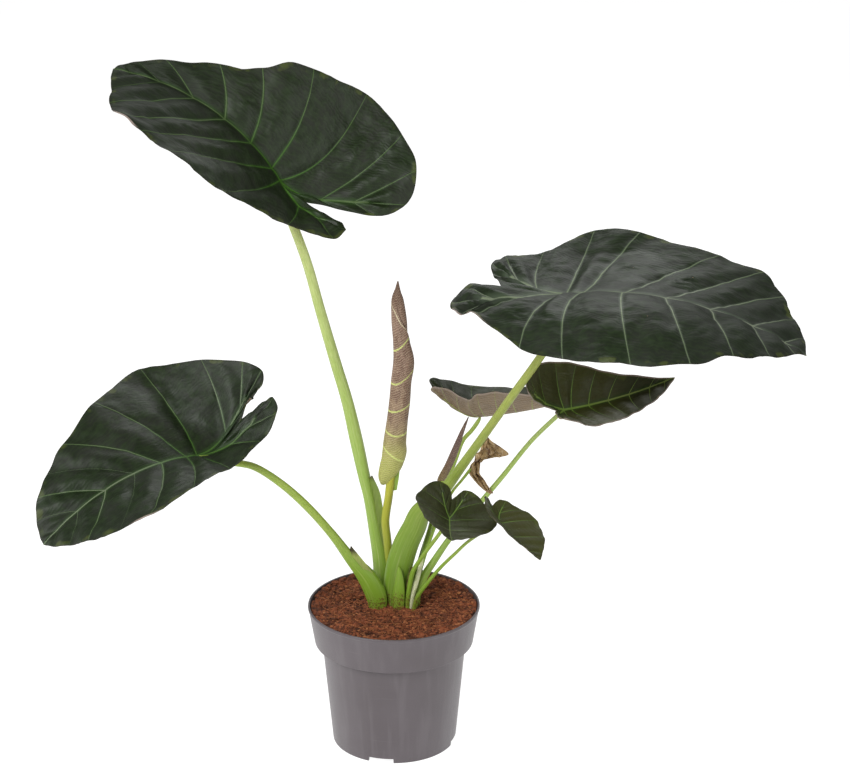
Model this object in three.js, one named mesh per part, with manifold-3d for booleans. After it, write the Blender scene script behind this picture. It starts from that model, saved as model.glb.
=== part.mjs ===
// A potted alocasia with dark shield leaves: grower's pot, coir soil, seven open leaves on petioles,
// one large and one small rolled new leaf, one withered leaf and the sheaths round the stem bases.
// Millimetres, +Z up, front towards -Y. The origin is the centre of the pot's underside.
import * as THREE from 'three';
import { mergeVertices } from 'three/addons/utils/BufferGeometryUtils.js';
import Module from 'manifold-3d';

const wasm = await Module();
wasm.setup();

// Pot
const POT = {
  height: 179, rim: 105, rimLip: 3, collarTop: 104, collarFoot: 97, collarZ: 132,
  body: 88, foot: 76, wall: 1.6, floorZ: 8, floor: 2.4, footRing: 3.5, pad: 18,
  sides: 48, notch: 31, notchHeight: 6, notches: 4, firstNotch: -102, drains: 8, drainRing: 52, drain: 6,
};

// Soil
const SOIL = { level: 173, mound: 6, moundReach: 55, rings: 5, sides: 40, gap: 0.65 };
const CRUMBS = [
  { height: 0.8, x: 0.31, y: 0.2, phase: 1.3 }, { height: 0.5, x: 0.19, y: 0.53, phase: 0 },
  { height: 0.4, x: 0.71, y: -0.6, phase: 1.6 },
];

// Clearance between neighbours that touch in the plant
const GAP = 0.35;

// Leaf blades: thickness, and how far the midrib and veins stand out underneath on the largest leaf.
// The midrib is ribWidth wide along a rib, thins by taper towards the tip, and the margin waves by
// waveTurn radians from one rib to the next.
const BLADE = { thickness: 1.1, midrib: 2.4, vein: 1.0, ribWidth: 0.05, taper: 0.75, waveTurn: 2.1 };

// The ribs of half a blade, counted from the sinus round the lobe to the tip. Ribs 0 to 6 start on the
// lobe's own rib, which runs from the petiole towards the lobe's end; the others start on the midrib.
const LOBE_RIB_LENGTH = 0.72;
const ON_LOBE_RIB = [0, 0.5, 0.85, 1, 0.85, 0.5, 0];
const ON_MIDRIB = [0, 0.07, 0.23, 0.4, 0.58, 0.76, 0.9, 1];
const LAST_RIB = 13;
const RIB_BOW = 0.1;
const HALF_WIDTH = 0.5;
const CREASE = 0.02;
const LIFT_REACH = 0.25;

// Each leaf: root is where the petiole meets the blade; heading, rise and roll in degrees point the
// midrib; droop bends the front down over one leaf length, lift raises the lobes behind the petiole;
// fold and curl raise the left and right halves. Outlines run from the sinus round the lobe to the tip,
// in leaf lengths along the midrib and out from it.
const LEAVES = {
  upper_left: {
    root: [-132, 60, 696], heading: 184, rise: 60, roll: -17, length: 241, droop: 54, lift: 46,
    fold: [-3, 48], curl: [0, 0], wave: 4, quilt: 2.6, ribs: 2,
    left: [
      [-0.12, 0], [-0.25, 0.01], [-0.36, 0.04], [-0.41, 0.12], [-0.37, 0.22], [-0.24, 0.24], [-0.09, 0.27],
      [0.2, 0.44], [0.49, 0.48], [0.67, 0.45], [0.82, 0.4], [0.9, 0.31], [0.96, 0.14], [1, 0],
    ],
    right: [
      [-0.12, 0], [-0.33, 0.04], [-0.51, 0.06], [-0.64, 0.16], [-0.64, 0.34], [-0.52, 0.5], [-0.17, 0.64],
      [0.26, 0.5], [0.41, 0.33], [0.56, 0.22], [0.78, 0.12], [0.9, 0.07], [0.97, 0.04], [1, 0],
    ],
  },
  right: {
    root: [201, -30, 586], heading: -17, rise: 11, roll: -15, length: 293, droop: 39, lift: 21,
    fold: [9, -1], curl: [29, -52], wave: 3, quilt: 3, ribs: 2,
    left: [
      [-0.27, 0], [-0.32, 0.08], [-0.35, 0.12], [-0.39, 0.2], [-0.37, 0.3], [-0.24, 0.41], [0, 0.57],
      [0.17, 0.54], [0.48, 0.47], [0.66, 0.43], [0.77, 0.35], [0.86, 0.25], [0.94, 0.14], [1, 0],
    ],
    right: [
      [-0.27, 0], [-0.34, 0.09], [-0.37, 0.17], [-0.37, 0.29], [-0.31, 0.33], [-0.24, 0.33], [-0.12, 0.39],
      [0.12, 0.52], [0.42, 0.52], [0.66, 0.43], [0.8, 0.31], [0.91, 0.19], [0.97, 0.08], [1, 0],
    ],
  },
  left: {
    root: [-228, -60, 397], heading: 223, rise: 11, roll: -8, length: 226, droop: 52, lift: 60,
    fold: [12, 23], curl: [0, 0], wave: 3, quilt: 2.4, ribs: 2,
    left: [
      [-0.33, 0], [-0.4, 0.04], [-0.47, 0.06], [-0.51, 0.14], [-0.45, 0.23], [-0.28, 0.25], [0.04, 0.32],
      [0.33, 0.41], [0.54, 0.42], [0.69, 0.42], [0.8, 0.35], [0.9, 0.22], [0.97, 0.09], [1, 0],
    ],
    right: [
      [-0.33, 0], [-0.43, 0.03], [-0.54, 0.02], [-0.6, 0.07], [-0.58, 0.18], [-0.44, 0.38], [-0.06, 0.59],
      [0.33, 0.48], [0.58, 0.35], [0.73, 0.27], [0.85, 0.2], [0.93, 0.12], [0.98, 0.05], [1, 0],
    ],
  },
  middle_right: {
    root: [205, 30, 420], heading: 30, rise: -3, roll: 52, length: 145, droop: -61, lift: 36,
    fold: [10, 54], curl: [0, 0], wave: 2.5, quilt: 1.6, ribs: 2,
    left: [
      [-0.09, 0], [-0.25, 0.03], [-0.44, 0.07], [-0.57, 0.16], [-0.5, 0.3], [-0.26, 0.39], [0.01, 0.41],
      [0.21, 0.36], [0.38, 0.28], [0.55, 0.19], [0.72, 0.12], [0.84, 0.06], [0.94, 0.02], [1, 0],
    ],
    right: [
      [-0.09, 0], [-0.26, 0.13], [-0.39, 0.2], [-0.49, 0.29], [-0.46, 0.35], [-0.3, 0.39], [-0.08, 0.43],
      [0.15, 0.46], [0.35, 0.43], [0.51, 0.39], [0.66, 0.38], [0.8, 0.3], [0.92, 0.16], [1, 0],
    ],
  },
  middle_back: {
    root: [106, 110, 382], heading: -14, rise: 10, roll: 10, length: 119, droop: -12, lift: 41,
    fold: [3, 55], curl: [0, 0], wave: 2, quilt: 1.4, ribs: 2,
    left: [
      [-0.32, 0], [-0.41, 0.06], [-0.54, 0.1], [-0.65, 0.2], [-0.58, 0.32], [-0.43, 0.43], [-0.21, 0.52],
      [0.07, 0.55], [0.31, 0.5], [0.53, 0.41], [0.71, 0.29], [0.85, 0.17], [0.95, 0.06], [1, 0],
    ],
    right: [
      [-0.32, 0], [-0.38, 0.06], [-0.52, 0.11], [-0.62, 0.21], [-0.54, 0.34], [-0.37, 0.41], [-0.12, 0.46],
      [0.13, 0.52], [0.34, 0.53], [0.52, 0.47], [0.7, 0.32], [0.85, 0.18], [0.95, 0.07], [1, 0],
    ],
  },
  low_front: {
    root: [67, -60, 317], heading: -91, rise: -2, roll: -13, length: 95, droop: -19, lift: 37,
    fold: [15, 21], curl: [0, 0], wave: 1, quilt: 1.2, ribs: 1,
    left: [
      [-0.33, 0], [-0.4, 0.06], [-0.46, 0.11], [-0.47, 0.19], [-0.42, 0.3], [-0.32, 0.4], [-0.15, 0.51],
      [0.1, 0.58], [0.36, 0.55], [0.59, 0.46], [0.77, 0.3], [0.88, 0.14], [0.95, 0.04], [1, 0],
    ],
    right: [
      [-0.33, 0], [-0.43, 0.03], [-0.5, 0.1], [-0.51, 0.21], [-0.43, 0.34], [-0.29, 0.44], [-0.09, 0.5],
      [0.15, 0.48], [0.38, 0.4], [0.57, 0.31], [0.74, 0.19], [0.87, 0.09], [0.95, 0.04], [1, 0],
    ],
  },
  low_right: {
    root: [125, -70, 319], heading: -50, rise: -26, roll: -38, length: 75, droop: -8, lift: 28,
    fold: [38, 3], curl: [0, 0], wave: 1, quilt: 1, ribs: 1,
    left: [
      [-0.27, 0], [-0.34, 0.08], [-0.38, 0.16], [-0.36, 0.27], [-0.28, 0.4], [-0.14, 0.52], [0.06, 0.59],
      [0.25, 0.61], [0.44, 0.55], [0.63, 0.45], [0.78, 0.31], [0.89, 0.17], [0.96, 0.07], [1, 0],
    ],
    right: [
      [-0.27, 0], [-0.31, 0.07], [-0.37, 0.14], [-0.37, 0.25], [-0.28, 0.35], [-0.12, 0.42], [0.07, 0.49],
      [0.26, 0.51], [0.45, 0.47], [0.63, 0.39], [0.78, 0.27], [0.89, 0.16], [0.96, 0.07], [1, 0],
    ],
  },
};

// Stems: each row is a point on the centre line and the half widths across and in depth
const PETIOLES = {
  upper_left: [
    [-132, 60, 697, 5.5, 5.5], [-124, 59, 672, 5.5, 5.5], [-103, 56, 600, 5.8, 5.8], [-87, 52, 539, 6.2, 6.2],
    [-70, 47, 477, 6.8, 6.6], [-56, 42, 428, 7.2, 7], [-45, 37, 378, 8, 7.4], [-34, 33, 334, 9, 8],
    [-26, 30, 303, 10, 8.4], [-19, 25, 253, 9.8, 8.6], [-16, 22, 227, 10, 8.8], [-14, 18, 190, 10, 9],
    [-13, 17, 150, 7, 7],
  ],
  right: [
    [201, -30, 587, 6.6, 6.6], [197, -30, 559, 6.6, 6.6], [185, -29, 531, 6.7, 6.7], [167, -27, 500, 6.8, 6.8],
    [144, -23, 455, 7.2, 7], [121, -18, 412, 7.8, 7.4], [94, -13, 366, 9, 8], [68, -8, 332, 10.5, 8.4],
    [49, -5, 314, 12, 8.8], [34, -3, 299, 13, 9.2], [25, -2, 281, 14.5, 9.6], [15, -1, 258, 15.5, 10],
    [7, 0, 230, 16, 10.4], [2, 0, 200, 14.5, 10.4], [1, 0, 178, 12, 9.6], [1, 0, 150, 8, 7],
  ],
  left: [
    [-228, -60, 398, 3.8, 3.8], [-207, -58, 396, 3.8, 3.8], [-187, -55, 388, 4, 4], [-162, -51, 379, 4.2, 4.2],
    [-133, -45, 356, 4.6, 4.6], [-104, -38, 325, 5, 5], [-75, -30, 286, 6, 5.6], [-51, -24, 251, 8, 6.4],
    [-35, -18, 226, 11, 7.4], [-25, -13, 205, 12.6, 8.4], [-20, -9, 187, 12.4, 8.6], [-17, -6, 150, 7, 6],
  ],
  middle_right: [
    [205, 30, 421, 2.8, 2.8], [199, 30, 414, 2.8, 2.8], [164, 27, 382, 2.8, 2.8], [129, 21, 339, 3, 3],
    [109, 16, 313, 3.1, 3.1], [88, 10, 285, 3.3, 3.2], [68, 5, 263, 3.6, 3.4], [48, -3, 235, 4.4, 3.8],
    [37, -6, 217, 4.8, 3.8], [27, -7, 188, 3.8, 3.4], [24, -7, 155, 2.8, 2.8],
  ],
  middle_back: [
    [106, 110, 383, 2.6, 2.6], [95, 106, 367, 2.6, 2.6], [84, 100, 354, 2.6, 2.6], [75, 90, 331, 2.8, 2.8],
    [65, 78, 310, 2.9, 2.9], [56, 64, 289, 3, 3], [44, 42, 258, 3.2, 3.2], [32, 20, 226, 3.4, 3.4],
    [23, 8, 190, 3.2, 3.2], [20, 6, 155, 2.8, 2.8],
  ],
  low_front: [
    [67, -60, 318, 2.3, 2.3], [61, -57, 307, 2.3, 2.3], [54, -51, 293, 2.3, 2.3], [38, -38, 263, 2.4, 2.4],
    [28, -27, 242, 2.6, 2.6], [22, -21, 226, 2.8, 2.8], [17, -15, 190, 2.8, 2.8], [17, -13, 155, 2.4, 2.4],
  ],
  low_right: [
    [125, -70, 320, 1.9, 1.9], [117, -67, 311, 1.9, 1.9], [91, -56, 287, 1.9, 1.9], [74, -47, 266, 2, 2],
    [56, -36, 242, 2.1, 2.1], [40, -27, 217, 2.3, 2.3], [26, -18, 189, 2.4, 2.4], [24, -15, 155, 2.2, 2.2],
  ],
  rolled: [
    [-3, 22, 338, 5.2, 5.2], [-6, 20, 311, 5, 5], [-9, 17, 292, 5, 5], [-10, 14, 279, 5, 5],
    [-8, 12, 260, 5, 5], [-6, 12, 238, 5, 5], [-3, 14, 209, 5, 5], [-2, 15, 150, 4, 4],
  ],
  small_rolled: [
    [58, 23, 333, 4, 3.6], [55, 21, 312, 3, 3], [50, 18, 295, 2.6, 2.6], [41, 10, 262, 2.6, 2.6],
    [33, 4, 228, 2.8, 2.8], [30, 2, 190, 2.8, 2.8], [28, 1, 155, 2.4, 2.4],
  ],
  withered: [
    [93, 12, 351, 1.9, 1.7], [83, 12, 337, 1.7, 1.7], [71, 12, 321, 1.7, 1.7], [59, 11, 298, 1.8, 1.8],
    [46, 5, 267, 2, 2], [34, -2, 230, 2.2, 2.2], [24, -2, 190, 2.2, 2.2], [21, -2, 155, 2, 2],
  ],
};

// Rolled blades, from the base to the pointed tip
const ROLLED = [
  [-11, 22, 321, 3, 3], [-11, 22, 329, 8.4, 7.6], [-6, 23, 343, 13.2, 11.5], [-2, 23, 356, 15, 13],
  [0.5, 24, 369, 16, 13.4], [1, 25, 381, 15, 13.2], [4, 26, 407, 13.8, 12.4], [7, 27, 432, 13.6, 12],
  [9, 28, 457, 13.2, 11.6], [12, 28, 482, 13.4, 11.4], [9.5, 29, 507, 10.6, 9.8], [8, 30, 532, 10.4, 8.6],
  [6, 30, 557, 8.2, 6.4], [5.5, 31, 568, 4.6, 3.8], [6, 32, 581, 0.8, 0.8],
];
const SMALL_ROLLED = [
  [56, 23, 328, 3.6, 3.2], [58, 23, 334, 5.2, 4.2], [66, 24, 350, 5, 4.2], [74, 24, 370, 4.6, 4],
  [82, 24, 392, 3, 3], [90, 24, 413, 0.7, 0.7],
];
// One lap of a rolled blade's edge, and the height of its overlap in half widths
const ROLL_LAP = { turns: 1.15, start: 0.55, step: 0.16 };

// Thin strips, as two edges: the wing of the tallest petiole's sheath and the drying sheaths
const WING = {
  thickness: 1.6,
  inner: [[-31, 30, 330], [-25, 26, 300], [-17, 20, 262], [-12, 17, 232]],
  outer: [[-26, 23, 338], [-17, 20, 318], [-13, 19, 296], [-8, 18.5, 262], [-6, 18, 236]],
};
const SHEATHS = {
  sheath_green: [[8, -15, 231, 2, 1.2], [8, -15.5, 227, 5, 2.2], [8, -15, 210, 5.8, 3], [7, -14, 190, 6, 3.4],
    [6, -12, 155, 4, 3]],
  sheath_brown: [[22, -11, 232, 1.6, 0.8], [21, -11, 222, 3, 1.1], [18, -10, 205, 3.2, 1.4], [15, -9, 186, 3, 1.6],
    [14, -8, 158, 2.4, 1.6]],
  sheath_cream: [[44, -14, 243, 1, 0.7], [39, -15, 232, 2.4, 0.9], [32, -15.5, 216, 3.4, 1.1],
    [25, -15, 198, 3.2, 1.3], [21, -14, 184, 2.6, 1.5], [19, -12, 158, 2.2, 1.5]],
};

// The withered leaf: two crumpled strips that meet at its petiole
const WITHERED = {
  thickness: 1.2,
  upper: {
    one: [[92, 12, 353], [90, 15, 364], [96, 9, 378], [105, 14, 388], [113, 10, 396]],
    two: [[101, 12, 351], [105, 7, 365], [109, 15, 369], [122, 8, 372], [137, 12, 371]],
  },
  lower: {
    one: [[93, 12, 355], [98, 15, 341], [106, 10, 332], [110, 14, 326]],
    two: [[102, 12, 353], [109, 9, 343], [113, 15, 334], [114, 13, 326]],
  },
};

const COLOUR = {
  pot: 0x77727a, soil: 0x6b3a26, blade: 0x39423a, petiole: 0x86a84c, yellow: 0xb3b84c, rolled: 0x9a8a78,
  green: 0x86ad3c, brown: 0x5a4a2c, cream: 0xd8dcb4, withered: 0x9a7a5c,
};

// Joining and cutting

function solidOf(geometry) {
  const bare = new THREE.BufferGeometry();
  bare.setAttribute('position', geometry.getAttribute('position'));
  bare.setIndex(geometry.getIndex());
  const merged = mergeVertices(bare, 1e-3);
  const corners = merged.getIndex().array;
  const kept = [];
  for (let i = 0; i < corners.length; i += 3) {
    const [a, b, c] = corners.slice(i, i + 3);
    if (a !== b && b !== c && c !== a) kept.push(a, b, c);
  }
  const vertProperties = new Float32Array(merged.getAttribute('position').array);
  return new wasm.Manifold(new wasm.Mesh({ numProp: 3, vertProperties, triVerts: new Uint32Array(kept) }));
}

// Some profiles and sections run the other way round, so their faces are turned to point out
function outwardSolid(geometry) {
  const solid = solidOf(geometry);
  if (solid.volume() > 0) return solid;
  const index = geometry.getIndex();
  for (let i = 0; i < index.count; i += 3) {
    const second = index.getX(i + 1);
    index.setX(i + 1, index.getX(i + 2));
    index.setX(i + 2, second);
  }
  return solidOf(geometry);
}

function geometryOf(solid) {
  const mesh = solid.getMesh();
  const geometry = new THREE.BufferGeometry();
  geometry.setAttribute('position', new THREE.BufferAttribute(new Float32Array(mesh.vertProperties), 3));
  geometry.setIndex(new THREE.BufferAttribute(new Uint32Array(mesh.triVerts), 1));
  geometry.computeVertexNormals();
  return geometry;
}

function largestPiece(solid) {
  return solid.decompose().reduce((best, piece) => (piece.volume() > best.volume() ? piece : best));
}

// Collects triangles for a closed surface
function surface() {
  const places = [];
  return {
    triangle(...corners) {
      for (const corner of corners) places.push(corner.x, corner.y, corner.z);
    },
    quad(a, b, c, d) {
      this.triangle(a, b, c);
      this.triangle(a, c, d);
    },
    geometry() {
      const geometry = new THREE.BufferGeometry();
      geometry.setAttribute('position', new THREE.Float32BufferAttribute(places, 3));
      return mergeVertices(geometry, 1e-4);
    },
  };
}

// Stems and rolled blades

// Rings along a smooth line through the rows; each ring lies across the line, its first axis level
function rings(rows, sides, perRow, swell, shape = () => 1) {
  const line = new THREE.CatmullRomCurve3(rows.map(([x, y, z]) => new THREE.Vector3(x, y, z)));
  const depthAxis = new THREE.Vector3(0, 1, 0);
  const count = (rows.length - 1) * perRow;
  return Array.from({ length: count + 1 }, (_, step) => {
    const along = step / count;
    const row = Math.min(Math.floor(step / perRow), rows.length - 2);
    const part = step / perRow - row;
    const across = THREE.MathUtils.lerp(rows[row][3], rows[row + 1][3], part) + swell;
    const depth = THREE.MathUtils.lerp(rows[row][4], rows[row + 1][4], part) + swell;
    const tangent = line.getTangent(along);
    const side = tangent.clone().cross(depthAxis).normalize();
    const front = side.clone().cross(tangent);
    const centre = line.getPoint(along);
    return Array.from({ length: sides }, (_, corner) => {
      const angle = (corner / sides) * 2 * Math.PI;
      const reach = shape(angle, along);
      return centre.clone()
        .addScaledVector(side, Math.cos(angle) * across * reach)
        .addScaledVector(front, Math.sin(angle) * depth * reach);
    });
  });
}

function loft(sections) {
  const skin = surface();
  const sides = sections[0].length;
  for (let row = 0; row + 1 < sections.length; row += 1) {
    for (let i = 0; i < sides; i += 1) {
      const next = (i + 1) % sides;
      skin.quad(sections[row][i], sections[row + 1][i], sections[row + 1][next], sections[row][next]);
    }
  }
  const first = sections[0];
  const last = sections[sections.length - 1];
  for (let i = 1; i + 1 < sides; i += 1) {
    skin.triangle(first[0], first[i], first[i + 1]);
    skin.triangle(last[0], last[i + 1], last[i]);
  }
  return outwardSolid(skin.geometry());
}

function stem(rows, swell = 0) {
  return loft(rings(rows, 8, 1, swell));
}

// The free edge of a rolled blade winds up round it as a low step; the room left round it is plain
function rolledBlade(rows, sides, swell = 0) {
  const lap = (angle, along) => {
    const behind = (angle / (2 * Math.PI) + ROLL_LAP.start + ROLL_LAP.turns * along) % 1;
    return 1 - ROLL_LAP.step * behind;
  };
  return loft(rings(rows, sides, 2, swell, swell > 0 ? undefined : lap));
}

// A thin strip between two edges
function strip(one, two, thickness) {
  const steps = 8;
  const edges = [one, two].map((edge) => {
    const line = new THREE.CatmullRomCurve3(edge.map((place) => new THREE.Vector3(...place)));
    return line.getPoints(steps);
  });
  const sections = edges[0].map((place, i) => {
    const other = edges[1][i];
    const next = edges[0][Math.min(i + 1, steps)];
    const last = edges[0][Math.max(i - 1, 0)];
    const normal = other.clone().sub(place).cross(next.clone().sub(last)).normalize();
    normal.multiplyScalar(thickness / 2);
    return [
      place.clone().add(normal), other.clone().add(normal),
      other.clone().sub(normal), place.clone().sub(normal),
    ];
  });
  return loft(sections);
}

// Leaf blades

function between(list, position) {
  const row = Math.min(Math.floor(position), list.length - 2);
  return THREE.MathUtils.lerp(list[row], list[row + 1], position - row);
}

// The margin, smooth through the outline's points
function marginPoint(outline, position) {
  const row = Math.min(Math.floor(position), outline.length - 2);
  const t = position - row;
  const [b, c] = [outline[row], outline[row + 1]];
  const a = outline[row - 1] ?? [2 * b[0] - c[0], 2 * b[1] - c[1]];
  const d = outline[row + 2] ?? [2 * c[0] - b[0], 2 * c[1] - b[1]];
  return [0, 1].map((k) => 0.5 * (2 * b[k] + (c[k] - a[k]) * t + (2 * a[k] - 5 * b[k] + 4 * c[k] - d[k]) * t * t
    + (3 * b[k] - a[k] - 3 * c[k] + d[k]) * t * t * t));
}

// A place on the flat leaf: along a rib (0 at its root, 1 at the margin), for any rib between 0 and 13
function flatPoint(outline, rib, t) {
  const lobeEnd = outline[3];
  const root = rib <= 6
    ? lobeEnd.map((value) => value * LOBE_RIB_LENGTH * between(ON_LOBE_RIB, rib))
    : [between(ON_MIDRIB, rib - 6), 0];
  const end = marginPoint(outline, rib);
  const bow = RIB_BOW * THREE.MathUtils.clamp(rib - 4, 0, 1);
  const reach = Math.hypot(end[0] - root[0], end[1] - root[1]);
  const middle = [(root[0] + end[0]) / 2 - bow * reach, (root[1] + end[1]) / 2];
  return [0, 1].map((k) => (1 - t) ** 2 * root[k] + 2 * t * (1 - t) * middle[k] + t * t * end[k]);
}

function axes(leaf) {
  const [heading, rise, roll] = [leaf.heading, leaf.rise, leaf.roll].map(THREE.MathUtils.degToRad);
  const along = new THREE.Vector3(
    Math.cos(heading) * Math.cos(rise), Math.sin(heading) * Math.cos(rise), Math.sin(rise));
  const level = new THREE.Vector3(-Math.sin(heading), Math.cos(heading), 0);
  const up = along.clone().cross(level);
  return {
    along,
    left: level.clone().multiplyScalar(Math.cos(roll)).addScaledVector(up, Math.sin(roll)),
    normal: up.clone().multiplyScalar(Math.cos(roll)).addScaledVector(level, -Math.sin(roll)),
  };
}

// Bends the flat leaf: a is along the midrib, b out to the left, in leaf lengths
function bent(leaf, a, b) {
  const { along, left, normal } = axes(leaf);
  const front = a >= 0;
  const bend = THREE.MathUtils.degToRad(front ? leaf.droop : -leaf.lift / LIFT_REACH);
  const curved = front ? a : Math.min(-a, LIFT_REACH);
  const straight = front ? 0 : Math.max(-a - LIFT_REACH, 0);
  const turn = bend * curved;
  const way = front ? 1 : -1;
  const forward = way * (Math.sin(turn) / bend + straight * Math.cos(turn));
  const down = (1 - Math.cos(turn)) / bend + straight * Math.sin(turn);
  const half = b >= 0 ? 0 : 1;
  const fold = THREE.MathUtils.degToRad(leaf.fold[half]);
  const curl = THREE.MathUtils.degToRad(leaf.curl[half]);
  const steps = 12;
  const width = Math.abs(b) / steps;
  let across = 0;
  let raised = 0;
  for (let step = 0; step < steps; step += 1) {
    const out = (step + 0.5) * width;
    const slope = fold * (1 - Math.exp(-out / CREASE)) + (curl * out) / HALF_WIDTH;
    across += Math.cos(slope) * width;
    raised += Math.sin(slope) * width;
  }
  return new THREE.Vector3(...leaf.root)
    .addScaledVector(along, leaf.length * (forward + raised * Math.sin(turn) * way))
    .addScaledVector(left, leaf.length * across * Math.sign(b))
    .addScaledVector(normal, leaf.length * (raised * Math.cos(turn) - down));
}

// Waves at the margin and quilting between the ribs lift the sheet; ribs are raised underneath
function bladeSection(leaf, side, rib, t, swell) {
  const outline = side > 0 ? leaf.left : leaf.right;
  const [a, out] = flatPoint(outline, rib, t);
  const b = side * out;
  const small = 0.004;
  const place = bent(leaf, a, b);
  const normal = bent(leaf, a + small, b).sub(bent(leaf, a - small, b))
    .cross(bent(leaf, a, b + small).sub(bent(leaf, a, b - small))).normalize();
  const ends = Math.min(1, rib / 2) * Math.min(1, (LAST_RIB - rib) / 2);
  const wave = leaf.wave * ends * t ** 3 * Math.sin(BLADE.waveTurn * rib + side);
  const betweenRibs = Math.sin(Math.PI * rib) ** 2;
  const quilt = leaf.quilt * betweenRibs * Math.sin(Math.PI * t) * Math.min(1, LAST_RIB - rib);
  const size = leaf.length / LEAVES.right.length;
  const taper = 1 - BLADE.taper * Math.max(a, 0);
  const midrib = BLADE.midrib * size * taper * Math.exp(-((t / BLADE.ribWidth) ** 2));
  const vein = BLADE.vein * size * (1 - betweenRibs) * (1 - t);
  const relief = rib < LAST_RIB ? Math.max(midrib, vein) : 0;
  place.addScaledVector(normal, wave + quilt);
  return {
    top: place.clone().addScaledVector(normal, BLADE.thickness / 2 + swell),
    under: place.clone().addScaledVector(normal, -BLADE.thickness / 2 - relief - swell),
  };
}

function blade(leaf, swell = 0) {
  const skin = surface();
  const across = leaf.length > 200 ? [0, 0.06, 0.25, 0.5, 0.78, 1] : [0, 0.08, 0.34, 0.67, 1];
  const columns = LAST_RIB * leaf.ribs;
  for (const side of [1, -1]) {
    const grid = Array.from({ length: columns + 1 }, (_, column) => (
      across.map((t) => bladeSection(leaf, side, column / leaf.ribs, t, swell))));
    const face = (a, b, c, d) => (side > 0 ? skin.quad(a, b, c, d) : flippedQuad(skin, a, b, c, d));
    for (let i = 0; i < columns; i += 1) {
      for (let j = 0; j + 1 < across.length; j += 1) {
        const corners = [grid[i][j], grid[i + 1][j], grid[i + 1][j + 1], grid[i][j + 1]];
        face(...corners.map((corner) => corner.top));
        const [p, q, r, s] = corners.map((corner) => corner.under);
        const back = side > 0 ? (u, v, w) => skin.triangle(w, v, u) : (u, v, w) => skin.triangle(u, v, w);
        back(p, q, r);
        back(p, r, s);
      }
      const [near, next] = [grid[i], grid[i + 1]].map((column) => column[across.length - 1]);
      face(near.top, next.top, next.under, near.under);
    }
  }
  return solidOf(skin.geometry());
}

// The same diagonal as a plain quad, facing the other way
function flippedQuad(skin, a, b, c, d) {
  skin.triangle(c, b, a);
  skin.triangle(d, c, a);
}

// Pot and soil

function lathe(profile, sides) {
  const geometry = new THREE.LatheGeometry(profile.map(([r, z]) => new THREE.Vector2(r, z)), sides);
  geometry.rotateX(Math.PI / 2);
  return outwardSolid(geometry);
}

function innerRadius(z) {
  const { collarZ, wall, foot, body, collarFoot, collarTop, height } = POT;
  return z < collarZ + wall
    ? THREE.MathUtils.mapLinear(z, 0, collarZ, foot, body) - wall
    : THREE.MathUtils.mapLinear(z, collarZ, height, collarFoot, collarTop) - wall;
}

function pot() {
  const { height, rim, rimLip, collarTop, collarFoot, collarZ, body, foot, wall, floorZ, floor } = POT;
  const floorTop = floorZ + floor;
  const profile = [
    [0, 0], [POT.pad, 0], [POT.pad + 2, floorZ], [foot - POT.footRing - 3, floorZ], [foot - POT.footRing, 0],
    [foot, 0], [body, collarZ - 1], [collarFoot, collarZ],
    [collarTop, height - rimLip - 1], [rim, height - rimLip], [rim - 0.3, height],
    [innerRadius(height), height],
    [innerRadius(collarZ + 3), collarZ + 3], [innerRadius(collarZ), collarZ + wall],
    [innerRadius(floorTop), floorTop], [0, floorTop],
  ];
  let shell = lathe(profile, POT.sides);
  for (let i = 0; i < POT.notches; i += 1) {
    const angle = THREE.MathUtils.degToRad(POT.firstNotch + (i * 360) / POT.notches);
    const tool = new THREE.BoxGeometry(20, POT.notch, 2 * POT.notchHeight);
    tool.translate(foot, 0, 0);
    tool.rotateZ(angle);
    shell = shell.subtract(solidOf(tool));
  }
  for (let i = 0; i < POT.drains; i += 1) {
    const angle = (i / POT.drains) * 2 * Math.PI;
    const tool = new THREE.CylinderGeometry(POT.drain, POT.drain, 4 * floor, 8);
    tool.rotateX(Math.PI / 2);
    tool.translate(POT.drainRing * Math.cos(angle), POT.drainRing * Math.sin(angle), floorZ + floor / 2);
    shell = shell.subtract(solidOf(tool));
  }
  return shell;
}

// The crumbly top of the soil, highest round the stems
function soilHeight(x, y) {
  const radius = Math.hypot(x, y);
  const heap = SOIL.mound * Math.exp(-((radius / SOIL.moundReach) ** 2));
  const crumbs = CRUMBS.map((crumb) => crumb.height * Math.sin(crumb.x * x + crumb.y * y + crumb.phase));
  return SOIL.level + heap + crumbs.reduce((sum, height) => sum + height);
}

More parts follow.
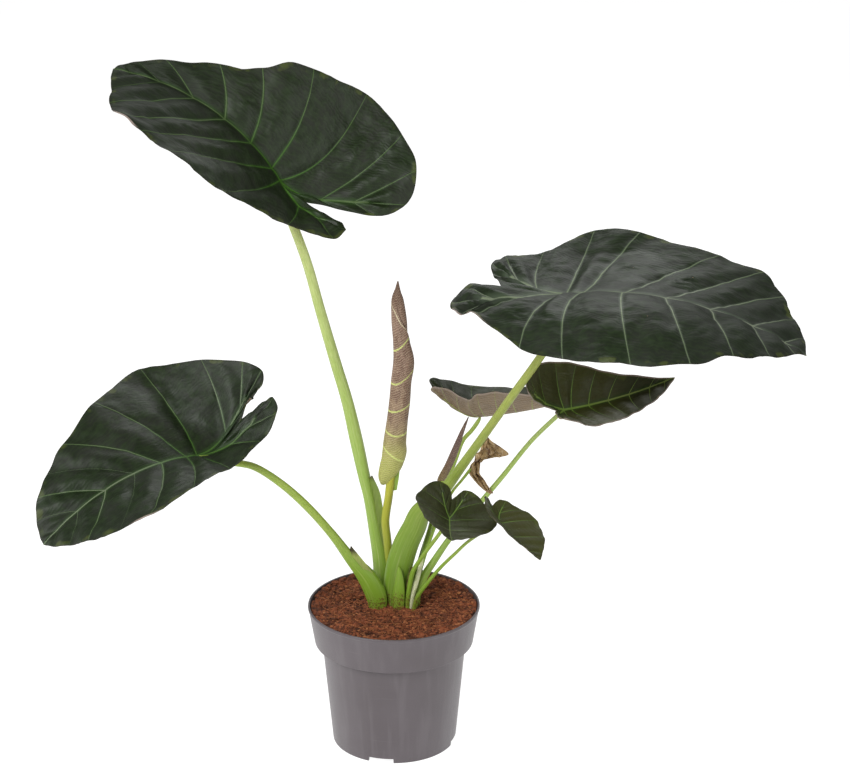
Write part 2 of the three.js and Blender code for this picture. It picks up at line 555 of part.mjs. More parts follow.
function soil(stems) {
  const { rings: count, sides, gap } = SOIL;
  const base = POT.floorZ + POT.floor + gap;
  const shoulder = POT.collarZ + 3 + gap;
  const skin = surface();
  const point = (radius, i, z) => {
    const angle = (i / sides) * 2 * Math.PI;
    const [x, y] = [radius * Math.cos(angle), radius * Math.sin(angle)];
    return new THREE.Vector3(x, y, z ?? soilHeight(x, y));
  };
  const edge = innerRadius(SOIL.level) - gap;
  const walls = [
    [innerRadius(base) - gap, base], [innerRadius(POT.collarZ) - gap, POT.collarZ],
    [innerRadius(POT.collarZ) - gap, shoulder], [innerRadius(shoulder) - gap, shoulder],
  ];
  for (let i = 0; i < sides; i += 1) {
    skin.triangle(point(0, 0, base), point(walls[0][0], i + 1, base), point(walls[0][0], i, base));
    for (let row = 0; row + 1 < walls.length; row += 1) {
      const [[r, z], [s, w]] = [walls[row], walls[row + 1]];
      skin.quad(point(r, i, z), point(r, i + 1, z), point(s, i + 1, w), point(s, i, w));
    }
    const [r, z] = walls[walls.length - 1];
    skin.quad(point(r, i, z), point(r, i + 1, z), point(edge, i + 1), point(edge, i));
    for (let ring = 0; ring < count; ring += 1) {
      const [far, near] = [edge * (1 - ring / count), edge * (1 - (ring + 1) / count)];
      skin.quad(point(far, i), point(far, i + 1), point(near, i + 1), point(near, i));
    }
  }
  return stems.reduce((body, hole) => body.subtract(hole), solidOf(skin.geometry()));
}

// The whole plant

const plant = new THREE.Group();

function place(name, solid, colour, roughness) {
  const material = new THREE.MeshStandardMaterial({ color: colour, roughness, metalness: 0 });
  const mesh = new THREE.Mesh(geometryOf(solid), material);
  mesh.name = name;
  plant.add(mesh);
}

const blades = Object.entries(LEAVES).map(([name, leaf]) => ({
  name, body: blade(leaf), room: blade(leaf, GAP),
}));
for (const { name, body } of blades) place(`blade_${name}`, body, COLOUR.blade, 0.45);

place('rolled_leaf', rolledBlade(ROLLED, 16), COLOUR.rolled, 0.6);
place('small_rolled_leaf', rolledBlade(SMALL_ROLLED, 10), COLOUR.rolled, 0.6);

const witheredBlade = strip(WITHERED.upper.one, WITHERED.upper.two, WITHERED.thickness)
  .add(strip(WITHERED.lower.one, WITHERED.lower.two, WITHERED.thickness));
place('withered_leaf', witheredBlade, COLOUR.withered, 0.9);

// Stems are cut clear of what was placed before them, with the front ones whole
const room = blades.map(({ room: body }) => body);
room.push(rolledBlade(ROLLED, 16, GAP), rolledBlade(SMALL_ROLLED, 10, GAP));
for (const part of [WITHERED.upper, WITHERED.lower]) {
  room.push(strip(part.one, part.two, WITHERED.thickness + 2 * GAP));
}

const holes = [];

function placeStem(name, body, swollen, colour) {
  const clear = room.reduce((rest, other) => rest.subtract(other), body);
  place(name, largestPiece(clear), colour, 0.5);
  room.push(swollen);
  holes.push(swollen);
}

for (const [name, rows] of Object.entries(SHEATHS)) {
  placeStem(name, stem(rows), stem(rows, GAP), COLOUR[name.split('_')[1]]);
}
const ORDER = ['right', 'left', 'upper_left', 'rolled', 'low_front', 'low_right', 'middle_right', 'middle_back',
  'small_rolled', 'withered'];
for (const name of ORDER) {
  const rows = PETIOLES[name];
  const winged = name === 'upper_left';
  const wing = (swell) => strip(WING.inner, WING.outer, WING.thickness + 2 * swell);
  const body = winged ? stem(rows).add(wing(0)) : stem(rows);
  const swollen = winged ? stem(rows, GAP).add(wing(GAP)) : stem(rows, GAP);
  placeStem(`petiole_${name}`, body, swollen, name === 'rolled' ? COLOUR.yellow : COLOUR.petiole);
}

place('soil', soil(holes), COLOUR.soil, 1);
place('pot', pot(), COLOUR.pot, 0.55);

export default plant;
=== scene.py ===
"""A potted alocasia with dark shield leaves in a grey grower's pot, as a studio picture.

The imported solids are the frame. Every leaf, stem, sheath, the soil and the pot is replaced by a finer
piece of the same form, in the same place. Sizes in the tables are in millimetres, as on the plant.
"""

import math
import random

import bmesh
import bpy
import numpy as np
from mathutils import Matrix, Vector, noise


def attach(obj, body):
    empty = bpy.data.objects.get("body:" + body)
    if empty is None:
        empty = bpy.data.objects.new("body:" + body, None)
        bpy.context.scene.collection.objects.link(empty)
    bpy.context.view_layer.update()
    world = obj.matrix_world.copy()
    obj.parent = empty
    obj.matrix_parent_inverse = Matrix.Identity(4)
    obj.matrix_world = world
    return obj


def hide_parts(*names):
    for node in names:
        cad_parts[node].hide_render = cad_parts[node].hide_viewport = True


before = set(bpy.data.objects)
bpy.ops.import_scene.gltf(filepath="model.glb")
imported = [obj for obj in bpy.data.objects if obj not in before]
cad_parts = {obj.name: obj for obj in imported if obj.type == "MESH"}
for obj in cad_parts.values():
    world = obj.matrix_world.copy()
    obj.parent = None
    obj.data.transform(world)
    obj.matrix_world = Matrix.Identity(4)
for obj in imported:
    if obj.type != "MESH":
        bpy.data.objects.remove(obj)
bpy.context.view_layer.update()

MM = 0.001


def placed(name, data):
    """An object made from its data and put in the scene."""
    thing = bpy.data.objects.new(name, data)
    bpy.context.scene.collection.objects.link(thing)
    return thing


def mesh_of(name, places, faces):
    """A mesh from places in millimetres."""
    mesh = bpy.data.meshes.new(name)
    mesh.from_pydata((np.asarray(places) * MM).tolist(), [], faces)
    return mesh


def spot(radius, angle):
    """The place at a radius and an angle, seen from above."""
    return radius * math.cos(angle), radius * math.sin(angle)


# Camera

CAMERA_PLACE = (0.038, -2.755, 1.462)
LOOKS_DOWN = 20
LENS = 105
SENSOR = 36
SEES_TO = 60


def make_camera():
    data = bpy.data.cameras.new("camera")
    data.sensor_width = SENSOR
    data.lens = LENS
    data.clip_end = SEES_TO
    camera = placed("camera", data)
    camera.location = CAMERA_PLACE
    camera.rotation_euler = (math.radians(90 - LOOKS_DOWN), 0, 0)
    bpy.context.scene.camera = camera


make_camera()

# Materials

NOISE = "ShaderNodeTexNoise"
MAPPING = "ShaderNodeMapping"
MATH = "ShaderNodeMath"
RANGE = "ShaderNodeMapRange"
MIX = "ShaderNodeMix"


def tint(code):
    """An sRGB hex colour as linear red, green, blue and alpha."""
    parts = [int(code[i:i + 2], 16) / 255 for i in (1, 3, 5)]
    linear = [p / 12.92 if p <= 0.04045 else ((p + 0.055) / 1.055) ** 2.4 for p in parts]
    return (*linear, 1)


def add(tree, kind, inputs=None, out=0, **settings):
    """Adds a node and returns one output. An input is an output that feeds it, a hex colour or a value."""
    item = tree.nodes.new(kind)
    for name, value in settings.items():
        setattr(item, name, value)
    for key, value in (inputs or {}).items():
        if isinstance(value, bpy.types.NodeSocket):
            tree.links.new(value, item.inputs[key])
        else:
            item.inputs[key].default_value = tint(value) if isinstance(value, str) else value
    return item.outputs[out] if item.outputs else item


def blank_material(name):
    material = bpy.data.materials.new(name)
    material.use_nodes = True
    material.node_tree.nodes.clear()
    return material, material.node_tree


def laid_over(tree, base, layers):
    """Lays colours over a base; each shows as its reading goes from start to end, up to its strength."""
    for reading, start, end, strength, colour in layers:
        mask = add(tree, RANGE, {0: reading, 1: start, 2: end, 4: strength}, interpolation_type="SMOOTHSTEP")
        base = add(tree, MIX, {0: mask, 6: base, 7: colour}, 2, data_type="RGBA")
    return base


def readings(tree, name):
    """The three numbers that a piece's points carry under one name, and all of them as a vector."""
    vector = add(tree, "ShaderNodeAttribute", out="Vector", attribute_name=name)
    parts = [add(tree, "ShaderNodeSeparateXYZ", {0: vector}, axis) for axis in "XYZ"]
    return vector, *parts


def close_material(material, colour, height, depth, **shader):
    """Ends a material: its colour, relief of some depth in metres, and plain values for the rest."""
    tree = material.node_tree
    bump = add(tree, "ShaderNodeBump", {"Height": height, "Distance": depth})
    inputs = {"Base Color": colour, "Normal": bump}
    inputs.update({key.replace("_", " "): value for key, value in shader.items()})
    surface = add(tree, "ShaderNodeBsdfPrincipled", inputs)
    add(tree, "ShaderNodeOutputMaterial", {"Surface": surface})
    return material


def ladder_wave(tree, ladder, wander, amount):
    """Ladder veins run across from rib to rib, 3 to 6 mm apart, and wander a little."""
    turns = add(tree, MATH, {0: wander, 1: amount, 2: ladder}, operation="MULTIPLY_ADD")
    angle = add(tree, MATH, {0: turns, 1: 2 * math.pi}, operation="MULTIPLY")
    return add(tree, MATH, {0: angle}, operation="SINE")


def leaf_cuticle(name):
    """Living leaf from above: a thin wax film on puckered dark tissue, so a broad, streaky satin sheen."""
    material, tree = blank_material(name)
    plan, *_ = readings(tree, "plan")
    _, from_rib, matt_shaded_tip, from_edge = readings(tree, "ribs")
    _, ladder, along_rib, from_petiole = readings(tree, "net")
    _, pale, cast, rim = readings(tree, "tone")
    # Lumps per millimetre: patches 33 mm across, blotches 18, mottle 11 and the finest pits under 2
    patches = add(tree, NOISE, {"Vector": plan, "Scale": 0.03, "Detail": 3, "Distortion": 0.6})
    mottle = add(tree, NOISE, {"Vector": plan, "Scale": 0.09, "Detail": 1.5})
    blotches = add(tree, NOISE, {"Vector": plan, "Scale": 0.055, "Detail": 2})
    fine = add(tree, NOISE, {"Vector": plan, "Scale": 0.6, "Detail": 3})
    wave = ladder_wave(tree, ladder, blotches, 4.0)
    halo = laid_over(tree, "#2C4A18", [(pale, 0.5, 1, 1, "#56644F")])
    outer = laid_over(tree, "#42562F", [(pale, 0, 1, 1, "#818A72"), (cast, 0, 0.6, 0.8, "#7F9148")])
    rib_colour = laid_over(tree, "#3B611B", [
        (pale, 0.5, 1, 0.7, "#848F70"),
        (cast, 0.2, 0.5, 0.8, "#769440"),
        (from_petiole, 0.1, 0.5, 1, outer),
        (along_rib, 0.3, 0.9, 0.65, "#566A3C"),
    ])
    edge_mask = add(tree, RANGE, {0: from_edge, 1: 18, 2: 3}, interpolation_type="SMOOTHSTEP")
    edge_patches = add(tree, MATH, {0: edge_mask, 1: blotches}, operation="MULTIPLY")
    at_rim = add(tree, RANGE, {0: from_edge, 1: 3, 2: 1.5})
    curled_rim = add(tree, MATH, {0: at_rim, 1: rim}, operation="MULTIPLY")
    colour = laid_over(tree, "#15200C", [
        # Greyer patches: partly the tissue's own tone, partly painted sheen; the same patches set the
        # roughness
        (patches, 0.42, 0.6, 0.8, "#1F231A"),
        (mottle, 0.4, 0.7, 0.4, "#26361B"),
        (cast, 0, 1, 0.55, "#4C4C20"),
        # The far end is painted darker: painted shade at the tip
        (matt_shaded_tip, 0, 1, 0.5, "#10180A"),
        (edge_patches, 0.5, 0.66, 0.5, "#4C5520"),
        (wave, 0.0, 1.0, 0.11, "#33471F"),
        (from_rib, 5, 0.9, 0.5, halo),
        (from_rib, 1.3, 0.5, 0.9, rib_colour),
        (from_edge, 1.1, 0.4, 0.4, "#2C1E16"),
        (curled_rim, 0.2, 0.9, 0.8, "#A5958C"),
    ])
    relief = add(tree, MATH, {0: wave, 1: 0.07, 2: mottle}, operation="MULTIPLY_ADD")
    relief = add(tree, MATH, {0: fine, 1: 0.05, 2: relief}, operation="MULTIPLY_ADD")
    roughness = add(tree, RANGE, {0: patches, 1: 0.3, 2: 0.7, 3: 0.46, 4: 0.58})
    roughness = add(tree, MATH, {0: matt_shaded_tip, 1: 0.16, 2: roughness}, operation="MULTIPLY_ADD")
    return close_material(material, colour, relief, 0.0006, Roughness=roughness, IOR=1.36)


def leaf_underside(name):
    """Living leaf from below: no wax film, so matt; mauve brown tissue and yellow green ribs."""
    material, tree = blank_material(name)
    plan, *_ = readings(tree, "plan")
    _, from_rib, _, from_edge = readings(tree, "ribs")
    _, ladder, *_ = readings(tree, "net")
    patches = add(tree, NOISE, {"Vector": plan, "Scale": 0.03, "Detail": 3})
    grain = add(tree, NOISE, {"Vector": plan, "Scale": 0.6, "Detail": 4})
    wave = ladder_wave(tree, ladder, grain, 0.8)
    colour = laid_over(tree, "#806E56", [
        (patches, 0.35, 0.7, 0.6, "#64513F"),
        (grain, 0.45, 0.75, 0.25, "#97896C"),
        (wave, 0.3, 1.0, 0.25, "#97856C"),
        (from_edge, 6, 1, 0.5, "#A5958C"),
        (from_rib, 1.4, 0.7, 0.85, "#8FA04E"),
    ])
    relief = add(tree, MATH, {0: wave, 1: 0.4, 2: grain}, operation="MULTIPLY_ADD")
    return close_material(material, colour, relief, 0.0006, Roughness=0.58, IOR=1.4)


def fleshy_stem(name, upper, shaded, streak, base, dry_from=9999, fresh_from=190):
    """A living petiole: moist, smooth skin with fine lengthwise fibres, and a fresher green low down."""
    material, tree = blank_material(name)
    skin, _, _, above_end = readings(tree, "skin")
    # Round the stem in radii, along it in millimetres: fibres run 65 mm, clouds 50 and specks 11
    lengthwise = add(tree, MAPPING, {"Vector": skin, "Scale": (9, 9, 0.015)})
    fibres = add(tree, NOISE, {"Vector": lengthwise, "Scale": 1.0, "Detail": 4})
    clouds = add(tree, NOISE, {"Vector": add(tree, MAPPING, {"Vector": skin, "Scale": (1.2, 1.2, 0.02)})})
    short = add(tree, MAPPING, {"Vector": skin, "Scale": (0.8, 0.8, 0.09)})
    specks = add(tree, NOISE, {"Vector": short, "Detail": 3})
    dirt = add(tree, RANGE, {0: above_end, 1: 75, 2: 35}, interpolation_type="SMOOTHSTEP")
    colour = laid_over(tree, upper, [
        (clouds, 0.35, 0.65, 0.9, shaded),
        (above_end, fresh_from, 50, 0.9, base),
        (fibres, 0.5, 0.72, 0.35, streak),
        (specks, 0.66, 0.74, 0.5, "#6E6A30"),
        (add(tree, MATH, {0: dirt, 1: specks}, operation="MULTIPLY"), 0.46, 0.56, 0.8, "#5E3D22"),
        (above_end, dry_from, dry_from + 10, 0.95, "#33261A"),
    ])
    return close_material(
        material, colour, fibres, 0.00022, Roughness=0.4, IOR=1.4,
        Subsurface_Weight=0.15, Subsurface_Radius=(0.004, 0.006, 0.002), Subsurface_Scale=0.5)


def rolled_underside(name, upper, lower, foot, rib):
    """A rolled leaf shows its matt mauve underside; it turns yellow green towards its base."""
    material, tree = blank_material(name)
    skin, *_ = readings(tree, "skin")
    _, from_rib, height, from_lap = readings(tree, "ribs")
    _, ladder, *_ = readings(tree, "net")
    stretched = add(tree, MAPPING, {"Vector": skin, "Scale": (2, 2, 0.07)})
    patches = add(tree, NOISE, {"Vector": stretched, "Scale": 1.0, "Detail": 5})
    fine = add(tree, NOISE, {"Vector": stretched, "Scale": 5, "Detail": 5})
    wave = ladder_wave(tree, ladder, patches, 2.0)
    colour = laid_over(tree, upper, [
        (height, 0.62, 0.25, 1, lower),
        (patches, 0.42, 0.62, 0.8, "#624638"),
        (fine, 0.5, 0.7, 0.35, "#B7A68E"),
        (height, 0.34, 0.08, 0.9, foot),
        (height, 0.82, 0.95, 0.8, "#553A2C"),
        (wave, -0.2, 1.0, 0.32, "#BCA98C"),
        (from_rib, 1.5, 0.7, 0.9, rib),
        (from_lap, 1.6, 0.6, 0.85, "#CDC3A0"),
        # A thin dark line at the free edge is painted shadow, where the outer layer steps down onto the
        # inner one
        (from_lap, 0.5, 0.2, 0.9, "#4A3A2A"),
    ])
    relief = add(tree, MATH, {0: wave, 1: 0.3, 2: patches}, operation="MULTIPLY_ADD")
    return close_material(material, colour, relief, 0.0009, Roughness=0.55, IOR=1.4)


def dry_tissue(name, light, dark, edge):
    """Dead leaf tissue, dried to paper: matt and wrinkled, burnt in places and bleached in fine flecks."""
    material, tree = blank_material(name)
    place = add(tree, "ShaderNodeTexCoord", out="Object")
    # Burnt patches are 10 mm across and wrinkles 2 mm
    patches = add(tree, NOISE, {"Vector": place, "Scale": 95, "Detail": 6, "Distortion": 0.8})
    fine = add(tree, NOISE, {"Vector": place, "Scale": 600, "Detail": 5})
    colour = laid_over(tree, light, [(patches, 0.5, 0.64, 0.95, dark), (fine, 0.52, 0.72, 0.7, edge)])
    return close_material(material, colour, fine, 0.0012, Roughness=0.72, IOR=1.45)


def coir(name):
    """Coconut coir and peat crumbs: dry, matt and fibrous, dark where light can't get between the crumbs."""
    material, tree = blank_material(name)
    place = add(tree, "ShaderNodeTexCoord", out="Object")
    # On the bed this reading is low in its hollows, a painted shade; loose crumbs and fibres carry random
    # tones
    crumb = add(tree, "ShaderNodeAttribute", out="Fac", attribute_name="crumb")
    # Damp patches are 14 mm across; the finest fibre is 2 mm, coarser than the real one so that it shows
    coarse = add(tree, NOISE, {"Vector": place, "Scale": 70, "Detail": 6})
    fine = add(tree, NOISE, {"Vector": place, "Scale": 500, "Detail": 5})
    colour = laid_over(tree, "#28120A", [
        (crumb, 0.0, 0.45, 1, "#86492B"),
        (coarse, 0.52, 0.66, 0.7, "#40200F"),
        (crumb, 0.5, 1.0, 1, "#AD7045"),
        (fine, 0.52, 0.75, 0.5, "#9C5C3A"),
    ])
    return close_material(material, colour, fine, 0.0014, Roughness=0.92, IOR=1.45)


def moulded_polypropylene(name):
    """Grey moulded polypropylene: a satin skin, faintly clouded, with scuffs and upright flow marks that are
    painted lighter, partly as painted reflection streaks.
    """
    material, tree = blank_material(name)
    place = add(tree, "ShaderNodeTexCoord", out="Object")
    # Clouds are 80 mm across, flow marks and painted reflection streaks 11 mm wide, scuffs 2 mm high and the
    # mould's grain 0.7 mm
    cloud = add(tree, NOISE, {"Vector": place, "Scale": 12, "Detail": 3})
    upright = add(tree, MAPPING, {"Vector": place, "Scale": (90, 90, 5)})
    flow_and_sheen_streaks = add(tree, NOISE, {"Vector": upright, "Scale": 1, "Detail": 4})
    grain = add(tree, NOISE, {"Vector": place, "Scale": 1400, "Detail": 2})
    level = add(tree, MAPPING, {"Vector": place, "Scale": (30, 30, 500)})
    scuffs = add(tree, NOISE, {"Vector": level, "Scale": 1, "Detail": 4})
    colour = laid_over(tree, "#534C4F", [
        (cloud, 0.35, 0.65, 0.6, "#5A5357"),
        # Lighter upright streaks: flow marks, and painted reflection streaks
        (flow_and_sheen_streaks, 0.45, 0.7, 0.5, "#635D60"),
        (scuffs, 0.62, 0.8, 0.1, "#807A7D"),
    ])
    relief = add(tree, MATH, {0: flow_and_sheen_streaks, 1: 0.5, 2: grain}, operation="MULTIPLY_ADD")
    return close_material(material, colour, relief, 0.00012, Roughness=0.38, IOR=1.49)


BLADE_TOP = leaf_cuticle("leaf_cuticle")
BLADE_UNDER = leaf_underside("leaf_underside")
PALE_PETIOLE = fleshy_stem("pale_green_petiole", "#B6C07E", "#A0AE64", "#CDD49C", "#7D9E32", fresh_from=540)
PETIOLE = fleshy_stem("green_petiole", "#92A645", "#7B9234", "#B0BE6E", "#74962A")
# The right leaf's petiole: partly its own olive colour, partly painted shade from the blade above it
DARK_PETIOLE = fleshy_stem("dark_green_petiole", "#949E4C", "#848F40", "#A8B068", "#6A8C24", fresh_from=340)
YELLOW_PETIOLE = fleshy_stem("yellow_petiole", "#AAAA34", "#9C9A2E", "#BAB85C", "#88942C")
OLIVE_SHEATH = fleshy_stem("olive_sheath", "#6E8032", "#617429", "#82904A", "#6A8630", 328)
SHEATH_MARGIN = fleshy_stem("dry_tipped_sheath", "#93A04E", "#868C48", "#B9B27A", "#8C8A4A", 252)
ROLLED = rolled_underside("rolled_leaf_underside", "#7E6354", "#8E785C", "#A9AE58", "#C3CC78")
SMALL_ROLLED = rolled_underside("small_rolled_leaf_underside", "#523A3E", "#5C4238", "#6E5C38", "#6A5340")
WITHERED_LEAF = dry_tissue("withered_leaf_tissue", "#A58A60", "#5A3A1C", "#D8CBB0")
BROWN_SHEATH = dry_tissue("dry_brown_sheath", "#6A5F30", "#3A2A16", "#8A7C44")
CREAM_SHEATH = dry_tissue("thin_cream_sheath", "#D6D9AE", "#A9B676", "#EDEFD8")
COIR = coir("coir_soil")
POT_PLASTIC = moulded_polypropylene("grey_polypropylene")

# Mesh building

# Points closer than this are one, and edges shorter than this go, in metres
WELD = 2e-6
SLIVER = 1e-6


def through(rows, at):
    """Values at fractional row numbers, smooth through the rows."""
    rows = np.asarray(rows, float)
    ends = np.concatenate([[2 * rows[0] - rows[1]], rows, [2 * rows[-1] - rows[-2]]])
    at = np.asarray(at, float)
    low = np.clip(np.floor(at).astype(int), 0, len(rows) - 2)
    t = (at - low).reshape(at.shape + (1,) * (rows.ndim - 1))
    a, b, c, d = (ends[low + k] for k in range(4))
    return 0.5 * (2 * b + (c - a) * t + (2 * a - 5 * b + 4 * c - d) * t ** 2
                  + (3 * b - a - 3 * c + d) * t ** 3)


def smooth_line(rows, per_row):
    return through(rows, np.arange((len(rows) - 1) * per_row + 1) / per_row)


def smooth(value, start, end):
    """0 at start and 1 at end, easing in and out."""
    part = np.clip((value - start) / (end - start), 0, 1)
    return part * part * (3 - 2 * part)


def unit(vectors):
    return vectors / np.maximum(np.linalg.norm(vectors, axis=-1, keepdims=True), 1e-9)


def bumps(points, scale, seed):
    """Smooth random values between -1 and 1 at points in millimetres; scale is lumps per millimetre."""
    flat = np.asarray(points, float).reshape(-1, np.shape(points)[-1])
    values = [noise.noise(Vector((*(p[:2] * scale), seed))) for p in flat]
    return np.array(values).reshape(np.shape(points)[:-1])


def new_piece(name, places, faces, node, materials, kinds=None, attributes=None, sharp=40):
    """A mesh in millimetres as a piece in a node's place, with attributes for its materials."""
    mesh = mesh_of(name, places, faces)
    for key, values in (attributes or {}).items():
        values = np.asarray(values, float)
        kind = "FLOAT_VECTOR" if values.ndim == 2 else "FLOAT"
        layer = mesh.attributes.new(key, kind, "POINT")
        layer.data.foreach_set("vector" if values.ndim == 2 else "value", values.ravel())
    if kinds is not None:
        mesh.polygons.foreach_set("material_index", kinds)
    for material in materials:
        mesh.materials.append(material)
    clean = bmesh.new()
    clean.from_mesh(mesh)
    bmesh.ops.remove_doubles(clean, verts=clean.verts, dist=WELD)
    bmesh.ops.dissolve_degenerate(clean, edges=clean.edges, dist=SLIVER)
    bmesh.ops.recalc_face_normals(clean, faces=clean.faces)
    clean.to_mesh(mesh)
    clean.free()
    mesh.polygons.foreach_set("use_smooth", [True] * len(mesh.polygons))
    mesh.set_sharp_from_angle(angle=math.radians(sharp))
    mesh.update()
    piece = placed(name, mesh)
    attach(piece, "root")
    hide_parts(node)
    return piece


def tube_faces(rows, sides):
    faces = []
    for row in range(rows - 1):
        for i in range(sides):
            j = (i + 1) % sides
            faces.append((row * sides + i, row * sides + j, (row + 1) * sides + j, (row + 1) * sides + i))
    faces.append(tuple(range(sides))[::-1])
    faces.append(tuple((rows - 1) * sides + i for i in range(sides)))
    return faces


def full_rows(rows):
    """Rows of x, y, z and the half widths across and in depth, where a table may give one for both."""
    return np.array([(*row, row[3])[:5] for row in rows], float)


def tube(rows, sides, per_row, shape):
    """Rings along a smooth line, and for each point: cosine, sine and millimetres to the lower end."""
    line = smooth_line(full_rows(rows), per_row)
    centre = line[:, :3]
    tangent = np.gradient(centre, axis=0)
    tangent /= np.linalg.norm(tangent, axis=1)[:, None]
    side = np.cross(tangent, (0, 1, 0))
    side /= np.linalg.norm(side, axis=1)[:, None]
    front = np.cross(side, tangent)
    travelled = np.concatenate([[0], np.cumsum(np.linalg.norm(np.diff(centre, axis=0), axis=1))])
    angle = np.arange(sides) / sides * 2 * np.pi
    along = np.linspace(0, 1, len(line))
    reach = shape(angle[None, :], along[:, None], travelled[:, None])
    across = (line[:, 3, None] * reach * np.cos(angle))[..., None]
    depth = (line[:, 4, None] * reach * np.sin(angle))[..., None]
    places = centre[:, None] + across * side[:, None] + depth * front[:, None]
    left_to_go = (travelled[-1] - travelled)[:, None]
    skin = np.stack(np.broadcast_arrays(np.cos(angle)[None], np.sin(angle)[None], left_to_go), -1)
    return places.reshape(-1, 3), tube_faces(len(line), sides), skin.reshape(-1, 3), travelled


def grid_faces(rows, columns, start=0):
    i, j = np.meshgrid(np.arange(rows - 1), np.arange(columns - 1), indexing="ij")
    corner = (start + i * columns + j).ravel()
    return np.stack([corner, corner + columns, corner + columns + 1, corner + 1], -1)


def sheet_between(one, two, rows, columns):
    """A grid of places on the sheet between two smooth edges."""
    edges = []
    for edge in (one, two):
        line = smooth_line(edge, 16)
        steps = np.linspace(0, len(line) - 1, rows + 1)
        edges.append(np.stack([np.interp(steps, range(len(line)), line[:, k]) for k in range(3)], -1))
    part = np.linspace(0, 1, columns + 1)[None, :, None]
    return edges[0][:, None] * (1 - part) + edges[1][:, None] * part


def thick_sheet(grid, thickness):
    """A closed sheet round a grid of places, thinner towards its far edge."""
    rows, columns = grid.shape[:2]
    normal = np.cross(np.gradient(grid, axis=0), np.gradient(grid, axis=1))
    normal /= np.linalg.norm(normal, axis=-1)[..., None]
    half = thickness / 2 * np.linspace(1, 0.35, columns)[None, :, None]
    places = np.vstack([(grid + normal * half).reshape(-1, 3), (grid - normal * half).reshape(-1, 3)])
    count = rows * columns
    faces = grid_faces(rows, columns).tolist() + grid_faces(rows, columns, count)[:, ::-1].tolist()
    round_edge = [*range(columns), *range(2 * columns - 1, count, columns),
                  *range(count - 2, count - columns - 1, -1), *range(count - 2 * columns, 0, -columns)]
    for a, b in zip(round_edge, round_edge[1:] + round_edge[:1]):
        faces.append([b, a, a + count, b + count])
    return places, [tuple(face) for face in faces]


# Leaf blades: where the petiole meets each, how it is turned and bent, and the outline of each half

BLADE = {"thickness": 1.1, "midrib": 2.4, "vein": 1.0, "taper": 0.75, "waveTurn": 2.1}
LOBE_RIB_LENGTH = 0.72
ON_LOBE_RIB = [0, 0.5, 0.85, 1, 0.85, 0.5, 0]
ON_MIDRIB = [0, 0.07, 0.23, 0.4, 0.58, 0.76, 0.9, 1]
RIB_STRENGTH = [0, 0.4, 0.6, 0.9, 0.7, 0.8, 1, 1, 1, 1, 0.9, 0.8, 0.6, 0]
LAST_RIB = 13
RIB_BOW = 0.1
HALF_WIDTH = 0.5
CREASE = 0.02
LIFT_REACH = 0.25
# Relief of the largest leaf in millimetres; a smaller leaf has less of it
LUMPS = 2.6
PUCKERS = 1.4
FOLDS = 0.9
FOLD_STEP = 12
VALLEYS = 1.5
RIDGES = 0.3
TROUGH = 0.8
RIB_REACH = 5
QUILT_GAIN = 1.5
LADDER_STEP = 5.5
EDGE_SHARE = 0.35
